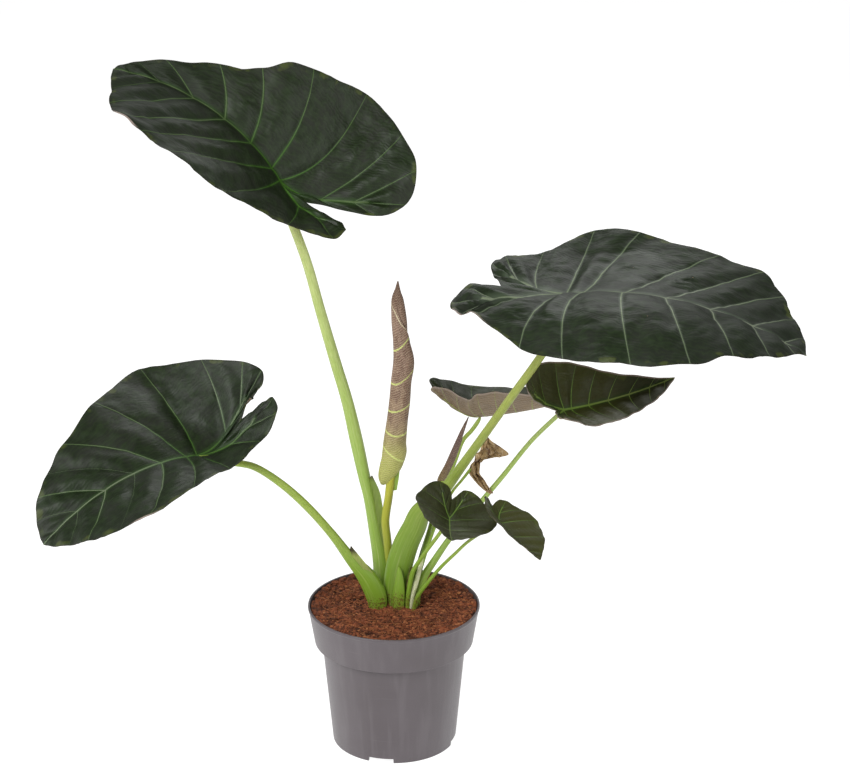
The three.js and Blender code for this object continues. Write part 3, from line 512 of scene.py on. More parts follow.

# "left" and "right" are the halves' outlines in leaf lengths, from the notch between the lobes to the tip.
# "bays" are places where the margin runs in or out, or curls up: half, rib, leaf lengths, millimetres.
# "tone" says how pale the veins are, how brown the leaf is and how pale its rim; the tip entry makes a
# leaf's far end rougher and paints it darker, a painted shade.

LEAVES = {
    "upper_left": {
        "root": (-132, 60, 696), "heading": 184, "rise": 60, "roll": -17, "length": 241, "droop": 54,
        "lift": 46, "fold": (-3, 48), "wave": 4, "quilt": 2.6,
        "left": [(-0.12, 0), (-0.25, 0.01), (-0.36, 0.04), (-0.41, 0.12), (-0.37, 0.22), (-0.15, 0.235),
                 (0.22, 0.53), (0.53, 0.54), (0.7, 0.51), (0.83, 0.48), (0.91, 0.34), (0.95, 0.19),
                 (0.98, 0.1), (1, 0)],
        "right": [(-0.12, 0), (-0.33, 0.04), (-0.51, 0.06), (-0.64, 0.16), (-0.64, 0.34), (-0.52, 0.5),
                  (-0.17, 0.64), (0.26, 0.5), (0.41, 0.33), (0.56, 0.22), (0.78, 0.12), (0.9, 0.07),
                  (0.97, 0.04), (1, 0)],
        "bays": [(-1, 7.5, 0.03, 0), (-1, 8.5, -0.05, 0), (-1, 9.25, 0.03, 0), (-1, 9.6, -0.03, 0),
                 (-1, 5.9, 0.02, 0), (-1, 6.5, -0.03, 0), (1, 8.7, 0, 8)],
        "tone": (0.25, 0.1, 0), "seed": 1, "matt_shaded_tip": 1,
        "ribs": (0, 0.4, 0.6, 0.9, 0.7, 0.8, 1, 1, 1, 1, 0.8, 0.3, 0.1, 0),
    },
    "right": {
        "root": (201, -30, 586), "heading": -17, "rise": 11, "roll": -15, "length": 293, "droop": 39,
        "lift": 21, "fold": (9, -1), "curl": (29, -52), "wave": 3, "quilt": 3,
        "left": [(-0.27, 0), (-0.32, 0.08), (-0.35, 0.12), (-0.39, 0.2), (-0.37, 0.3), (-0.24, 0.41),
                 (0, 0.57), (0.17, 0.54), (0.48, 0.47), (0.66, 0.43), (0.77, 0.35), (0.86, 0.25),
                 (0.94, 0.14), (1, 0)],
        "right": [(-0.27, 0), (-0.34, 0.09), (-0.37, 0.17), (-0.37, 0.3), (-0.31, 0.37), (-0.25, 0.34),
                  (-0.07, 0.46), (0.11, 0.53), (0.42, 0.52), (0.66, 0.44), (0.8, 0.33), (0.91, 0.22),
                  (0.97, 0.08), (1, 0)],
        "bays": [(-1, 5.6, -0.03, 0), (-1, 3.9, 0, 6), (-1, 4.9, 0, 4)],
        "tone": (1, 0, 0), "seed": 2, "bold": 1.8, "matt_shaded_tip": 1,
    },
    "left": {
        "root": (-228, -60, 397), "heading": 223, "rise": 11, "roll": -8, "length": 226, "droop": 52,
        "lift": 60, "fold": (12, 23), "wave": 3, "quilt": 2.4,
        "left": [(-0.33, 0), (-0.4, 0.04), (-0.47, 0.06), (-0.51, 0.14), (-0.45, 0.23), (-0.28, 0.25),
                 (0.04, 0.32), (0.33, 0.42), (0.6, 0.47), (0.74, 0.41), (0.86, 0.28), (0.93, 0.17),
                 (0.98, 0.07), (1, 0)],
        "right": [(-0.33, 0), (-0.43, 0.03), (-0.54, 0.02), (-0.6, 0.07), (-0.58, 0.18), (-0.47, 0.38),
                  (-0.06, 0.63), (0.33, 0.48), (0.58, 0.35), (0.73, 0.27), (0.85, 0.2), (0.93, 0.12),
                  (0.98, 0.05), (1, 0)],
        "bays": [(1, 8.2, 0, 5)], "tone": (0.6, 0, 0), "seed": 3,
        "ribs": (0, 0.4, 0.6, 0.9, 0.7, 0.8, 1, 1, 1, 0.15, 1, 0.25, 0.1, 0),
    },
    "middle_right": {
        "root": (205, 30, 420), "heading": 30, "rise": -3, "roll": 52, "length": 145, "droop": -61,
        "lift": 36, "fold": (10, 54), "wave": 1.2, "quilt": 1.6,
        "left": [(-0.09, 0), (-0.25, 0.03), (-0.44, 0.07), (-0.57, 0.16), (-0.5, 0.3), (-0.26, 0.39),
                 (0.01, 0.41), (0.21, 0.36), (0.38, 0.28), (0.55, 0.19), (0.72, 0.12), (0.84, 0.06),
                 (0.94, 0.02), (1, 0)],
        "right": [(-0.09, 0), (-0.26, 0.13), (-0.39, 0.2), (-0.49, 0.29), (-0.46, 0.35), (-0.3, 0.39),
                  (-0.08, 0.43), (0.15, 0.46), (0.35, 0.43), (0.51, 0.39), (0.66, 0.38), (0.8, 0.3),
                  (0.92, 0.16), (1, 0)],
        "tone": (0.3, 0.8, 0.6), "seed": 4, "bold": 1.4, "matt_shaded_tip": 1,
    },
    "middle_back": {
        "root": (106, 110, 382), "heading": -14, "rise": 10, "roll": 10, "length": 119, "droop": -12,
        "lift": 41, "fold": (3, 55), "wave": 2, "quilt": 1.4,
        "left": [(-0.32, 0), (-0.41, 0.06), (-0.54, 0.1), (-0.65, 0.2), (-0.58, 0.32), (-0.43, 0.43),
                 (-0.21, 0.52), (0.07, 0.55), (0.31, 0.5), (0.53, 0.41), (0.71, 0.29), (0.85, 0.17),
                 (0.95, 0.06), (1, 0)],
        "right": [(-0.32, 0), (-0.38, 0.06), (-0.52, 0.11), (-0.62, 0.21), (-0.54, 0.34), (-0.37, 0.41),
                  (-0.12, 0.46), (0.13, 0.52), (0.34, 0.53), (0.52, 0.47), (0.7, 0.32), (0.85, 0.18),
                  (0.95, 0.07), (1, 0)],
        "tone": (0.5, 0.3, 0.3), "seed": 5,
    },
    "low_front": {
        "root": (67, -60, 317), "heading": -91, "rise": -2, "roll": -13, "length": 95, "droop": -19,
        "lift": 37, "fold": (15, 21), "wave": 1, "quilt": 1.2,
        "left": [(-0.33, 0), (-0.4, 0.06), (-0.46, 0.11), (-0.47, 0.19), (-0.42, 0.3), (-0.32, 0.4),
                 (-0.15, 0.51), (0.1, 0.58), (0.36, 0.55), (0.59, 0.46), (0.77, 0.3), (0.88, 0.14),
                 (0.95, 0.04), (1, 0)],
        "right": [(-0.33, 0), (-0.43, 0.03), (-0.5, 0.1), (-0.51, 0.21), (-0.43, 0.34), (-0.29, 0.44),
                  (-0.09, 0.5), (0.15, 0.48), (0.38, 0.4), (0.57, 0.31), (0.74, 0.19), (0.87, 0.09),
                  (0.95, 0.04), (1, 0)],
        "tone": (0.4, 0.5, 0), "seed": 6, "bold": 0.8,
        "ribs": (0, 0.4, 0.2, 0.9, 0.1, 0.7, 0.1, 1, 0.1, 1, 0.1, 0.6, 0.1, 0),
    },
    "low_right": {
        "root": (125, -70, 319), "heading": -50, "rise": -26, "roll": -38, "length": 75, "droop": -8,
        "lift": 28, "fold": (38, 3), "wave": 1, "quilt": 1,
        "left": [(-0.27, 0), (-0.34, 0.08), (-0.38, 0.16), (-0.36, 0.27), (-0.28, 0.4), (-0.14, 0.52),
                 (0.06, 0.59), (0.25, 0.61), (0.44, 0.55), (0.63, 0.45), (0.78, 0.31), (0.89, 0.17),
                 (0.96, 0.07), (1, 0)],
        "right": [(-0.27, 0), (-0.31, 0.07), (-0.37, 0.14), (-0.37, 0.25), (-0.28, 0.35), (-0.12, 0.42),
                  (0.07, 0.49), (0.26, 0.51), (0.45, 0.47), (0.63, 0.39), (0.78, 0.27), (0.89, 0.16),
                  (0.96, 0.07), (1, 0)],
        "tone": (0.4, 0.9, 0), "seed": 7, "bold": 0.8,
        "ribs": (0, 0.4, 0.1, 0.8, 0.1, 0.9, 0.1, 1, 0.1, 1, 0.1, 0.6, 0.1, 0),
    },
}


def flat_point(outline, rib, t):
    """Places on the flat leaf, in leaf lengths: along a rib, 0 at its root and 1 at the margin."""
    outline = np.array(outline, float)
    end = through(outline, rib)
    lobe = np.interp(rib, range(7), ON_LOBE_RIB)[..., None] * outline[3] * LOBE_RIB_LENGTH
    mid = np.interp(rib - 6, range(8), ON_MIDRIB)
    root = np.where((rib <= 6)[..., None], lobe, np.stack([mid, 0 * mid], -1))
    bow = RIB_BOW * np.clip(rib - 4, 0, 1) * np.linalg.norm(end - root, axis=-1)
    middle = (root + end) / 2 - np.stack([bow, 0 * bow], -1)
    t = t[..., None]
    return (1 - t) ** 2 * root + 2 * t * (1 - t) * middle + t * t * end


def turned_axes(leaf):
    heading, rise, roll = (math.radians(leaf[key]) for key in ("heading", "rise", "roll"))
    along = np.array([*spot(math.cos(rise), heading), math.sin(rise)])
    level = np.array([-math.sin(heading), math.cos(heading), 0])
    up = np.cross(along, level)
    return along, level * math.cos(roll) + up * math.sin(roll), up * math.cos(roll) - level * math.sin(roll)


def bent(leaf, a, b):
    """Bends the flat leaf: a runs along the midrib, b out to the left."""
    along, left, normal = turned_axes(leaf)
    front = a >= 0
    bend = np.where(front, math.radians(leaf["droop"]), -math.radians(leaf["lift"]) / LIFT_REACH)
    curved = np.where(front, a, np.minimum(-a, LIFT_REACH))
    straight = np.where(front, 0, np.maximum(-a - LIFT_REACH, 0))
    turn = bend * curved
    way = np.where(front, 1, -1)
    forward = way * (np.sin(turn) / bend + straight * np.cos(turn))
    down = (1 - np.cos(turn)) / bend + straight * np.sin(turn)
    fold = np.radians(np.where(b >= 0, *leaf["fold"]))
    curl = np.radians(np.where(b >= 0, *leaf.get("curl", (0, 0))))
    steps = 12
    width = np.abs(b) / steps
    across = raised = 0
    for step in range(steps):
        out = (step + 0.5) * width
        slope = fold * (1 - np.exp(-out / CREASE)) + curl * out / HALF_WIDTH
        across = across + np.cos(slope) * width
        raised = raised + np.sin(slope) * width
    ahead = (forward + raised * np.sin(turn) * way)[..., None] * along
    aside = (across * np.sign(b))[..., None] * left
    above = (raised * np.cos(turn) - down)[..., None] * normal
    return np.array(leaf["root"]) + leaf["length"] * (ahead + aside + above)


def rows_and_columns(leaf):
    """Rib positions, close together beside each rib, and steps along a rib, close beside its root."""
    beside = [0, 0.012, 0.03, 0.06, 0.1, 0.16, 0.23, 0.31, 0.4]
    small = leaf["length"] < 100
    if small:
        beside = beside[::2]
    fractions = beside + [0.5] + [1 - f for f in beside[:0:-1]]
    ribs = np.array([k + f for k in range(LAST_RIB) for f in fractions] + [LAST_RIB])
    near = [0, 0.008, 0.018, 0.03, 0.045, 0.065]
    steps = np.array(near + list(np.linspace(0.09, 1, 18 if small else 40)))
    return ribs, steps


def blade_sheet(leaf, side, outline, rib, t):
    """The middle of the blade's thickness and which way is up from it.

    Well out from the midrib the sheet runs smoothly from rib to rib, so that a half that is folded up
    steeply doesn't turn inside out where the lobe begins.
    """
    flat = flat_point(outline, rib, t)
    a, b = flat[..., 0], side * flat[..., 1]
    whole, out = np.meshgrid(np.arange(LAST_RIB + 1.0), t[0], indexing="ij")
    on_ribs = flat_point(outline, whole, out)
    spanned = through(bent(leaf, on_ribs[..., 0], side * on_ribs[..., 1]), rib[:, 0])
    weight = (smooth(t, 0.15, 0.5) * smooth(rib, 0, 0.7) * smooth(LAST_RIB - rib, 0, 0.7))[..., None]
    place = bent(leaf, a, b) * (1 - weight) + spanned * weight
    small = 0.003
    normal = np.cross(bent(leaf, a + small, b) - bent(leaf, a - small, b),
                      bent(leaf, a, b + small) - bent(leaf, a, b - small))
    spread = side * np.cross(np.gradient(place, axis=0), np.gradient(place, axis=1))
    normal = unit(unit(normal) * (1 - weight) + unit(spread) * weight)
    # The margin isn't a drawn line: it runs in and out by a millimetre or two, and has a few bays
    ragged = 0.006 * np.sin(2.6 * rib + 2 * side) + 0.007 * np.sin(6.1 * rib + side + leaf["seed"])
    for half, middle, shift, _ in leaf.get("bays", ()):
        if half == side:
            ragged = ragged + shift * np.exp(-(((rib - middle) / 0.28) ** 2))
    ragged = ragged * t ** 2 * smooth(rib, 0, 1) * smooth(LAST_RIB - rib, 0, 1)
    place = place + np.gradient(place, axis=1) / np.gradient(t[0])[None, :, None] * ragged[..., None]
    return flat, place, normal


def distances(leaf, outline, rib, t, flat):
    """Millimetres to the nearest side rib, to the midrib or lobe rib and to the margin, and rib lengths."""
    length = leaf["length"]
    low = np.clip(np.floor(rib), 0, LAST_RIB - 1)
    part = rib - low
    gap = np.linalg.norm(flat_point(outline, low + 1, t) - flat_point(outline, low, t), axis=-1) * length
    lobe = np.array(outline[3]) * LOBE_RIB_LENGTH
    on_lobe = np.clip((flat @ lobe) / (lobe @ lobe), 0, 1)[..., None] * lobe
    from_midrib = np.where(flat[..., 0] > 0, np.abs(flat[..., 1]), np.linalg.norm(flat, axis=-1))
    from_main = np.minimum(np.linalg.norm(flat - on_lobe, axis=-1), from_midrib) * length
    reach = np.linalg.norm(flat_point(outline, rib, 0 * t + 1) - flat_point(outline, rib, 0 * t), axis=-1)
    reach = np.maximum(reach * length, 1)
    return np.minimum(part, 1 - part) * gap, from_main, (1 - t) * reach, reach


def half_blade(leaf, side, ribs, steps):
    """One half of a blade: places above and below it, and what its materials read."""
    seed = leaf["seed"]
    size = leaf["length"] / LEAVES["right"]["length"]
    outline = leaf["left"] if side > 0 else leaf["right"]
    rib, t = np.meshgrid(ribs, steps, indexing="ij")
    flat, place, normal = blade_sheet(leaf, side, outline, rib, t)
    a, b = flat[..., 0], side * flat[..., 1]
    from_side_rib, from_main, from_edge, reach = distances(leaf, outline, rib, t, flat)
    # Half widths of the ribs, which thin out towards the tip and the margin
    strength = np.interp(np.round(rib), range(LAST_RIB + 1), leaf.get("ribs", RIB_STRENGTH))
    main_width = leaf.get("bold", 1) * (1.7 * size * (1 - 0.7 * np.clip(np.abs(a), 0, 1)) + 0.25)
    side_width = (0.85 * size + 0.2) * (1 - 0.75 * t) * np.maximum(strength, 0.02)
    from_rib = np.minimum(from_main / main_width, from_side_rib / side_width)
    # The margin waves and ruffles, and curls up in places
    ends = np.minimum(1, rib / 2) * np.minimum(1, (LAST_RIB - rib) / 2)
    wave = 0.6 * leaf["wave"] * ends * t ** 3 * np.sin(BLADE["waveTurn"] * rib + side)
    wave = wave + 0.35 * leaf["wave"] * ends * t ** 4 * np.sin(5.3 * rib + 2 * side + seed)
    rim = leaf["tone"][2] + 0 * t
    for half, middle, _, curled_up in leaf.get("bays", ()):
        if half == side:
            curled = curled_up * np.exp(-(((rib - middle) / 0.5) ** 2))
            wave = wave + curled * smooth(t, 0.85, 1)
            rim = np.minimum(1, rim + curled / 6)
    # Between the side ribs the blade swells and puckers, and folds lightly across
    between = np.sin(np.pi * rib) ** 2
    quilt = QUILT_GAIN * min(1, 1.6 * size) * leaf["quilt"] * between * np.sin(np.pi * t)
    quilt = quilt * np.minimum(1, LAST_RIB - rib)
    plan = np.stack([a, b], -1) * leaf["length"]
    pucker = LUMPS * bumps(plan, 0.03, seed + side) + PUCKERS * bumps(plan, 0.08, 3 + side)
    folds = FOLDS * np.sin(2 * np.pi * (t * reach / FOLD_STEP + 1.5 * bumps(plan, 0.05, 5))) * between
    pucker = size * np.minimum(1, t * 4) * ends * (pucker + folds * (0.5 + bumps(plan, 0.02, 8)))
    # Ribs stand proud in shallow valleys above, and are thick below
    along_rib = strength * np.sin(np.pi * np.sqrt(t))
    sunk = VALLEYS * along_rib * np.exp(-((from_side_rib / (RIB_REACH * size)) ** 2))
    sunk = sunk + TROUGH * np.exp(-((from_main / (RIB_REACH * size)) ** 2))
    proud = RIDGES * np.exp(-((from_rib / 0.9) ** 2))
    off_edge = np.minimum(1, from_edge / 6)
    sheet = wave + quilt + pucker + size * (proud - sunk) * off_edge
    midrib = BLADE["midrib"] * (1 - BLADE["taper"] * np.clip(a, 0, 1))
    midrib = midrib * np.exp(-((from_main / main_width / 1.4) ** 2))
    vein = BLADE["vein"] * strength * (1 - t) * np.exp(-((from_side_rib / side_width / 1.4) ** 2))
    half_thick = BLADE["thickness"] / 2 * np.minimum(1, EDGE_SHARE + from_edge / 3)
    top = place + (sheet + half_thick)[..., None] * normal
    under = place + (sheet - size * np.maximum(midrib, vein) * off_edge - half_thick)[..., None] * normal
    # Towards the tip the blade gets rougher and is painted darker, a painted shade
    matt_shaded_tip = leaf.get("matt_shaded_tip", 0) * smooth(a, 0.3, 0.75)
    data = {
        "plan": np.stack([plan[..., 0], plan[..., 1], 0 * b + 90 * seed], -1),
        "ribs": np.stack([from_rib, matt_shaded_tip, from_edge], -1),
        "net": np.stack([t * reach / LADDER_STEP, t, np.hypot(a, b)], -1),
        "tone": np.stack([0 * rim + leaf["tone"][0], 0 * rim + leaf["tone"][1], rim], -1),
    }
    return top, under, data


def make_blade(name, leaf):
    ribs, steps = rows_and_columns(leaf)
    n, m = len(ribs), len(steps)
    places, faces, kinds, data = [], [], [], {}
    for half, side in enumerate((1, -1)):
        top, under, values = half_blade(leaf, side, ribs, steps)
        for layer in (top, under):
            places.append(layer.reshape(-1, 3))
            for key, value in values.items():
                data.setdefault(key, []).append(value.reshape(-1, 3))
        first = 2 * half * n * m
        edge = first + np.arange(n - 1) * m + m - 1
        rim = np.stack([edge, edge + m, edge + m + n * m, edge + n * m], -1)
        below = grid_faces(n, m, first + n * m)[:, ::-1]
        for block, kind in ((grid_faces(n, m, first), 0), (below, 1), (rim, 0)):
            block = block if side > 0 else block[:, ::-1]
            faces.extend(map(tuple, block.tolist()))
            kinds.extend([kind] * len(block))
    data = {key: np.vstack(values) for key, values in data.items()}
    new_piece(f"leaf_blade_{name}", np.vstack(places), faces, f"blade_{name}",
              (BLADE_TOP, BLADE_UNDER), kinds, data, sharp=60)


for leaf_name, leaf_form in LEAVES.items():
    make_blade(leaf_name, leaf_form)

# Petioles: centre line and half width, or two, from the blade down into the soil

PETIOLES = {
    "upper_left": [
        (-132, 60, 697, 5.5), (-124, 59, 672, 5.5), (-103, 56, 600, 5.8), (-87, 52, 539, 6.2),
        (-70, 47, 477, 6.8, 6.6), (-56, 42, 428, 7.2, 7), (-45, 37, 378, 8, 7.4), (-36, 33, 334, 7.4),
        (-29, 30, 303, 7.2, 7.4), (-20, 25, 253, 9, 8.4), (-16, 22, 227, 10, 8.8),
        (-14, 18, 190, 10, 9), (-13, 17, 150, 7)],
    "right": [
        (201, -30, 587, 5), (197, -30, 559, 4.9), (185, -29, 531, 4.8), (168, -27, 500, 4.8),
        (139, -23, 455, 4.9), (112, -18, 412, 5.1), (83, -13, 366, 5.8, 5.6), (61, -8, 332, 7.6, 6.8),
        (45, -5, 314, 10.4, 8), (32, -3, 299, 13, 9), (25, -2, 281, 14.5, 9.6), (15, -1, 258, 15.5, 10),
        (7, 0, 230, 16, 10.4), (2, 0, 200, 14.5, 10.4), (1, 0, 178, 12, 9.6), (1, 0, 150, 8, 7)],
    "left": [
        (-228, -60, 398, 3.8), (-207, -58, 396, 3.8), (-187, -55, 388, 4), (-162, -51, 379, 4.2),
        (-133, -45, 356, 4.6), (-104, -38, 325, 5), (-75, -30, 286, 5.3, 5.2),
        (-52, -24, 250, 7.2, 6.2), (-35, -18, 226, 11, 7.4), (-25, -13, 205, 12.6, 8.4),
        (-20, -9, 187, 12.4, 8.6), (-17, -6, 150, 7, 6)],
    "middle_right": [
        (205, 30, 421, 2.8), (199, 30, 414, 2.8), (166, 27, 381, 2.8), (132, 21, 338, 3),
        (111, 16, 313, 3.1), (88, 10, 285, 3.3, 3.2), (68, 5, 263, 3.6, 3.4), (48, -3, 235, 4.4, 3.8),
        (37, -6, 217, 4.8, 3.8), (27, -7, 188, 3.8, 3.4), (24, -7, 155, 2.8)],
    "middle_back": [
        (106, 110, 383, 2.6), (95, 106, 367, 2.6), (84, 100, 354, 2.6), (75, 90, 331, 2.8),
        (65, 78, 310, 2.9), (56, 64, 289, 3), (44, 42, 258, 3.2), (32, 20, 226, 3.4), (23, 8, 190, 3.2),
        (20, 6, 155, 2.8)],
    "low_front": [
        (67, -60, 318, 2.3), (61, -57, 307, 2.3), (54, -51, 293, 2.3), (38, -38, 263, 2.4),
        (28, -27, 242, 2.6), (22, -21, 226, 2.8), (17, -15, 190, 2.8), (17, -13, 155, 2.4)],
    "low_right": [
        (125, -70, 320, 1.9), (117, -67, 311, 1.9), (91, -56, 287, 1.9), (74, -47, 266, 2),
        (56, -36, 242, 2.1), (40, -27, 217, 2.3), (26, -18, 189, 2.4), (24, -15, 155, 2.2)],
    "rolled": [
        (-3, 22, 338, 5.2), (-6, 20, 311, 5), (-9, 17, 292, 5), (-10, 14, 279, 5), (-8, 12, 260, 5),
        (-6, 12, 238, 5), (-3, 14, 209, 5), (-2, 15, 150, 4)],
    "small_rolled": [
        (58, 23, 333, 4, 3.6), (55, 21, 312, 3), (50, 18, 295, 2.6), (41, 10, 262, 2.6),
        (33, 4, 228, 2.8), (30, 2, 190, 2.8), (28, 1, 155, 2.4)],
    "withered": [
        (93, 12, 351, 1.9, 1.7), (83, 12, 337, 1.7), (71, 12, 321, 1.7), (59, 11, 298, 1.8),
        (46, 5, 267, 2), (34, -2, 230, 2.2), (24, -2, 190, 2.2), (21, -2, 155, 2)],
}


def fluting(angle, along, travelled):
    """Shallow lengthwise ridges and a groove on the side that faces the plant's middle."""
    ridges = 0.008 * np.sin(9 * angle) + 0.012 * np.sin(4 * angle + travelled / 60)
    groove = -0.12 * np.exp(-((np.angle(np.exp(1j * (angle - 2.2))) / 0.45) ** 2))
    return 1 + ridges + groove


# Free margins of the sheaths: what each is made of, its thickness and its two edges; its fibres are
# as wide as on a stem of this radius
WING_RADIUS = 8
WINGS = {
    "upper_left": (OLIVE_SHEATH, 1.6, [(-31, 30, 330), (-25, 26, 300), (-17, 20, 262), (-12, 17, 232)],
                   [(-26, 23, 338), (-17, 20, 318), (-13, 19, 296), (-8, 18.5, 262), (-6, 18, 236)]),
    "left": (SHEATH_MARGIN, 1.0, [(-53, -28, 259), (-45, -29, 249), (-37, -26, 237), (-28, -22, 224)],
             [(-51, -26, 267), (-43, -27, 257), (-34, -25, 244), (-25, -21, 229)]),
}


# How a petiole ends: millimetres down from its top, and the share of its width there
DRAWN_IN = [(0, 0.3), (2.5, 0.75), (8, 1)]
UNDER_BLADE = 1.2
SINK_REACH = 45


def ended_under_blade(rows, leaf):
    """The petiole's rows, with the top drawn in and set below the blade it carries."""
    rows = full_rows(rows)
    way = unit(rows[1, :3] - rows[0, :3])
    ends = [[*(rows[0, :3] + way * down), *(rows[0, 3:] * share)] for down, share in DRAWN_IN]
    rows = np.vstack([ends, rows[1:]])
    away = np.linalg.norm(rows[:, :3] - rows[0, :3], axis=1)
    sink = (rows[:, 3] + UNDER_BLADE) * np.exp(-((away / SINK_REACH) ** 2))
    rows[:, :3] -= turned_axes(leaf)[2] * sink[:, None]
    return rows


def joined(places, faces, kinds, sheet, sheet_faces):
    """A piece with a sheet of its second material added to it."""
    faces = faces + [tuple(len(places) + i for i in face) for face in sheet_faces]
    return np.vstack([places, sheet]), faces, kinds + [1] * len(sheet_faces)


STEM_FINISH = {"rolled": YELLOW_PETIOLE, "upper_left": PALE_PETIOLE, "middle_right": PALE_PETIOLE,
               "right": DARK_PETIOLE}


def make_stem(name, rows):
    if name in LEAVES:
        rows = ended_under_blade(rows, LEAVES[name])
    places, faces, skin, _ = tube(rows, 28, 10, fluting)
    kinds = [0] * len(faces)
    finish = [STEM_FINISH.get(name, PETIOLE)]
    if name in WINGS:
        wing_finish, thickness, inner, outer = WINGS[name]
        finish.append(wing_finish)
        wing, wing_faces = thick_sheet(sheet_between(inner, outer, 40, 16), thickness)
        places, faces, kinds = joined(places, faces, kinds, wing, wing_faces)
        skin = np.vstack([skin, wing / (WING_RADIUS, WING_RADIUS, 1)])
    new_piece(f"stem_{name}", places, faces, f"petiole_{name}", finish, kinds, {"skin": skin})


for stem_name, stem_rows in PETIOLES.items():
    make_stem(stem_name, stem_rows)

# Rolled new leaves

ROLLED_ROWS = [
    (-14, 22, 327, 2.5), (-12, 22, 332, 7.2, 6.6), (-9, 22.5, 340, 11, 9.8), (-5, 23, 349, 14, 12),
    (-2, 23, 357, 15, 13), (0.5, 24, 369, 16, 13.4), (1, 25, 381, 15, 13.2), (4, 26, 407, 13.8, 12.4),
    (7, 27, 432, 13.6, 12), (9, 28, 457, 13.2, 11.6), (12, 28, 482, 13.4, 11.4),
    (9.5, 29, 507, 10.6, 9.8), (8, 30, 532, 10.4, 8.6), (6, 30, 557, 8.2, 6.4),
    (5.5, 31, 568, 4.6, 3.8), (6, 32, 581, 0.8),
]
SMALL_ROLLED_ROWS = [
    (56, 23, 328, 3.6, 3.2), (58, 23, 334, 5.2, 4.2), (66, 24, 350, 5, 4.2), (74, 24, 370, 4.6, 4),
    (82, 24, 392, 3), (90, 24, 413, 0.7),
]
LAP_STEP = 0.2
# Where the free edge is, in turns from the roll's left side, on the way up
LAP_HEIGHTS = [0, 0.55, 0.74, 0.8, 0.87, 0.92, 1]
LAP_TURNS = [0.25, 0.4, 0.5, 0.7, 0.82, 1.0, 1.25]
# Ribs that cross the roll's front: heights at its left side, middle and right side
ROLLED_RIBS = [(496, 503, 513), (456, 459, 473), (422, 423, 430), (397, 392, 394), (377, 366, 358)]


def lap(angle, along, travelled):
    """The free edge of a rolled blade winds up round it as a step; its foot hangs in loose pleats."""
    behind = (angle / (2 * np.pi) - np.interp(along, LAP_HEIGHTS, LAP_TURNS)) % 1
    pleats = 0.07 * np.sin(5 * angle + 1) * smooth(along, 0.22, 0.03)
    return 1 - LAP_STEP * behind + pleats


# A green tab of the sheath that shows below the large rolled leaf: its left and right edges
TAB = ([(-1.5, 21, 350), (-1, 21, 335), (-1.2, 21, 319)],
       [(8, 21, 350), (6.4, 21, 335), (3.9, 21, 319.5)])
TAB_THICKNESS = 1.2
# What a material reads where nothing is near: no rib, no free edge, no foot
FAR = 120.0
RIB_HALF_WIDTH = 1.05


def make_rolled(name, node, rows, sides, per_row, material, ribs):
    places, faces, skin, travelled = tube(rows, sides, per_row, lap)
    x = -skin[:, 0]
    z = places[:, 2]
    along = (travelled[-1] - skin[:, 2]) / travelled[-1]
    from_rib = np.full(len(z), FAR)
    for left, middle, right in ribs:
        line = middle + (right - left) / 2 * x + ((left + right) / 2 - middle) * x * x
        from_rib = np.minimum(from_rib, np.abs(z - line) / RIB_HALF_WIDTH)
    turns = np.arctan2(skin[:, 1], skin[:, 0]) / (2 * np.pi)
    behind = (turns - np.interp(along, LAP_HEIGHTS, LAP_TURNS)) % 1
    from_lap = behind * 2 * np.pi * np.interp(along, [0, 0.5, 1], [12, 13, 2])
    data = {"skin": skin, "ribs": np.stack([from_rib, along, from_lap], -1),
            "net": np.stack([(z - 6 * x) / 3, x, along], -1)}
    kinds = [0] * len(faces)
    if ribs:
        tab, tab_faces = thick_sheet(sheet_between(*TAB, 20, 10), TAB_THICKNESS)
        places, faces, kinds = joined(places, faces, kinds, tab, tab_faces)
        plain = np.full((len(tab), 3), FAR)
        data = {key: np.vstack([values, plain]) for key, values in data.items()}
    new_piece(name, places, faces, node, (material, PETIOLE), kinds, data, sharp=50)


make_rolled("rolled_new_leaf", "rolled_leaf", ROLLED_ROWS, 80, 14, ROLLED, ROLLED_RIBS)
make_rolled("small_rolled_new_leaf", "small_rolled_leaf", SMALL_ROLLED_ROWS, 40, 14, SMALL_ROLLED, [])

# Sheaths and the withered leaf

SHEATHS = {
    "green": [
        (6, -15, 234, 0.8, 0.5), (7, -15.5, 227, 3.4, 1.6), (7, -15, 210, 6.4, 2.6),
        (6, -14, 190, 7.6, 3.2), (5, -12, 155, 6, 3)],
    "brown": [
        (22, -11, 232, 1.6, 0.8), (21, -11, 222, 3, 1.1), (18, -10, 205, 3.2, 1.4),
        (15, -9, 186, 3, 1.6), (14, -8, 158, 2.4, 1.6)],
    "cream": [
        (36.5, -15, 252, 0.8, 0.6), (33.5, -15.5, 239, 2.2, 0.9), (29.5, -16, 223, 2.9, 1.1),
        (25.5, -15.5, 207, 3, 1.3), (21.8, -14.5, 190, 2.6, 1.5), (19, -12, 158, 2.2, 1.5)],
}
SHEATH_FINISH = {"green": (PETIOLE, "petiole"), "brown": (BROWN_SHEATH, "dry_sheath"),
                 "cream": (CREAM_SHEATH, "pale_sheath")}

for sheath_name, sheath_rows in SHEATHS.items():
    sheath_places, sheath_faces, sheath_skin, _ = tube(sheath_rows, 24, 10, fluting)
    finish, sheath_slot = SHEATH_FINISH[sheath_name]
    new_piece(f"sheath_{sheath_name}_skin", sheath_places, sheath_faces, f"sheath_{sheath_name}",
              (finish,), attributes={"skin": sheath_skin})

